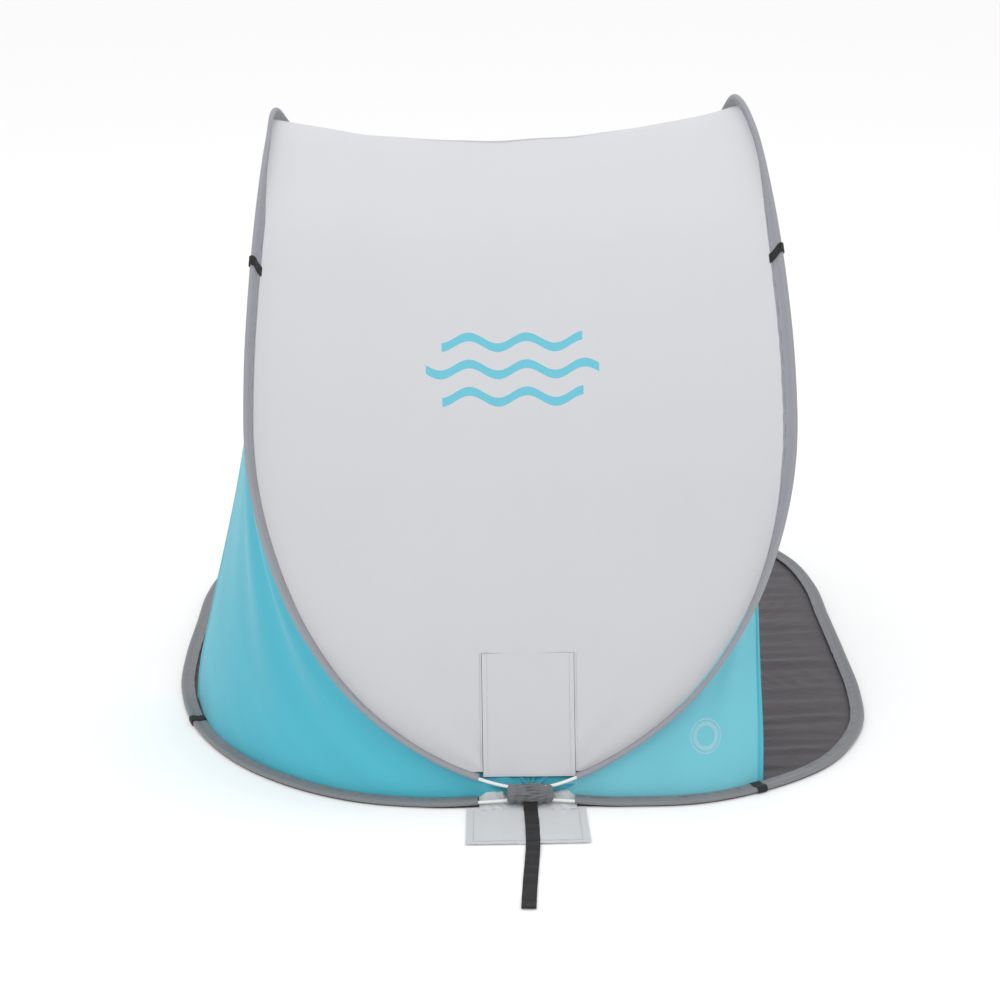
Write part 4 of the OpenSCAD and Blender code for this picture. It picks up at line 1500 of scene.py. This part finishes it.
    def flap(self) -> None:
        """Make the cover flap with its hems and stitch lines."""
        s, d = np.meshgrid(np.linspace(-1, 1, 131), np.linspace(0, 1, 75))
        y = -0.0195 - 0.1220 * d
        x = s * (0.1095 + 0.0030 * d)
        hem = 0.009
        side, far = (1 - np.abs(s)) * 0.112, (1 - d) * 0.122
        border = 1 - ease((np.minimum(side, far) - hem) / 0.0012)
        groove = bell((np.minimum(side, far) - hem + 0.001) / 0.0009)
        z = 0.0011 + 0.0009 * border - 0.0005 * groove
        slack = ease(side / 0.03) * ease(far / 0.03)
        lifted = 0.0010 * (1 - ease(far / 0.02)) * np.abs(np.sin(s * 9))
        z = z + 0.0012 * slack * (1 + folds(x / 0.060, y / 0.09, 21)) * 0.6 + lifted
        z = np.minimum(z, np.where(np.abs(x) < 0.020, 0.0014, 1.0))
        corner = ease((np.abs(s) - 0.9) / 0.1) * ease((d - 0.85) / 0.15)
        z = z + 0.0018 * corner * (s > 0)
        points = np.stack([x, y, z], axis=-1)
        uv = np.stack([x, y], axis=-1)
        cloth = grid_piece("cover_flap_cloth", points, uv)
        cloth = smooth(thicken(cloth, 0.0006), 60)
        self.ready(cloth, "flap", "cover_flap", "hub_cover_flap")
        rows = []
        lines = {"left": points[2:-7, 8], "right": points[2:-7, -9], "far": points[-7, 8:-8]}
        for label, line in lines.items():
            name, line = f"flap_stitches_{label}", line + UP * 0.0007
            rows.append(self.row(name, line, "pale_thread", "cover_flap", 0.0044, 0.0034, 0.0009))
        for piece in (cloth, *rows):
            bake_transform(piece)

    def backing(self) -> None:
        """Make the pale cloth that shows between the rods on both sides of the wrap."""
        # From the flap's root back under the rods, and up behind them in a curl
        line = resampled(self.backing_line, 0.0012, 3)
        s = np.linspace(-1, 1, 111)[None]
        curl = 0.12 + 0.88 * ease((np.abs(s) - 0.40) / 0.14) * (1 - 0.75 * ease((np.abs(s) - 0.80) / 0.2))
        y = np.broadcast_to(line[:, :1], (len(line), 111)) + 0.002 * np.sin(7 * s) * curl
        z = 0.0022 + (line[:, 1:] - 0.0022) * curl + 0.0008 * np.sin(31 * s + line[:, :1] * 300) * curl
        x = np.broadcast_to(s * 0.090 + HUB_SHIFT * 0.5, z.shape)
        points = np.stack([x, y, z], axis=-1)
        cloth = grid_piece("hub_backing", points, np.stack([x, y], axis=-1))
        cloth = smooth(thicken(cloth, 0.0006), 60)
        self.ready(cloth, "flap", "cover_flap")
        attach(cloth, "base")

    def build(self) -> None:
        """Make all of the hub."""
        self.wrap()
        self.strap_root()
        self.flap()
        self.strap()
        self.backing()


# ---- Studio ----------------------------------------------------------------------------------


@dataclass
class Studio:
    """Floor, lights and camera."""

    eye: Triple = (-0.1044, -3.2093, 1.927)
    lens: float = 72.0
    pitch: float = 67.657
    yaw: float = -1.085
    roll: float = -0.422
    sky: float = 0.98
    # Name, place, aim, size and power of each lamp
    lamps: tuple[tuple[str, Triple, Triple, float, float], ...] = (
        ("key", (-2.4, -3.2, 3.6), (0, 0.2, 0.5), 3.0, 26),
        ("fill", (2.8, -2.6, 2.4), (0, 0.3, 0.5), 3.0, 8),
        ("top", (0, 1.2, 4.2), (0, 0.6, 0), 3.5, 30),
    )

    def floor(self) -> None:
        """Lay the plain floor."""
        deselect()
        bpy.ops.mesh.primitive_plane_add(size=80, location=(0, 0, -0.0006))
        plane = bpy.context.active_object
        plane.name = "studio_floor"
        paint = Paint("studio_white", (0.975, 0.975, 0.975), 0.9)
        plane.data.materials.append(paint.material)

    def area(self, name: str, place: Triple, aim: Triple, size: float, watts: float) -> None:
        """Hang a soft square light."""
        light = bpy.data.lights.new(name, "AREA")
        light.shape, light.size, light.energy = "SQUARE", size, watts
        lamp = bpy.data.objects.new(name, light)
        lamp.rotation_euler = (Vector(place) - Vector(aim)).to_track_quat("Z", "Y").to_euler()
        lamp.location = place
        bpy.context.collection.objects.link(lamp)

    def lights(self) -> None:
        """Light the room softly from all round, mostly from above."""
        world = bpy.data.worlds.new("soft_room")
        world.use_nodes = True
        sky = world.node_tree.nodes["Background"]
        sky.inputs["Color"].default_value = (1, 1, 1, 1)
        sky.inputs["Strength"].default_value = self.sky
        bpy.context.scene.world = world
        for lamp in self.lamps:
            self.area(*lamp)
        bpy.context.scene.view_settings.view_transform = "Standard"

    def camera(self) -> None:
        """Set the camera behind and above the hub."""
        data = bpy.data.cameras.new("camera")
        data.lens, data.sensor_width = self.lens, 36.0
        data.clip_end = 200
        camera = bpy.data.objects.new("camera", data)
        turns = (self.yaw, "Z"), (self.pitch, "X"), (self.roll, "Z")
        yaw, pitch, roll = (Matrix.Rotation(math.radians(degrees), 4, axis) for degrees, axis in turns)
        camera.matrix_world = Matrix.Translation(self.eye) @ (yaw @ pitch @ roll)
        bpy.context.collection.objects.link(camera)
        bpy.context.scene.camera = camera

    def build(self) -> None:
        """Set up the studio."""
        self.camera()
        self.floor()
        self.lights()


def main() -> None:
    """Build the studio and the shelter."""
    logging.basicConfig(level=logging.INFO, format="%(name)s: %(message)s")
    Studio().build()
    dresser, stitcher = Dresser(), Stitcher()
    for assembly in (HoopRods, Sleeves, Canopy, Walls, Groundsheet, Hub):
        assembly(dresser, stitcher).build()
        LOG.info("%s done", assembly.__name__)


if __name__ == "__main__":
    main()
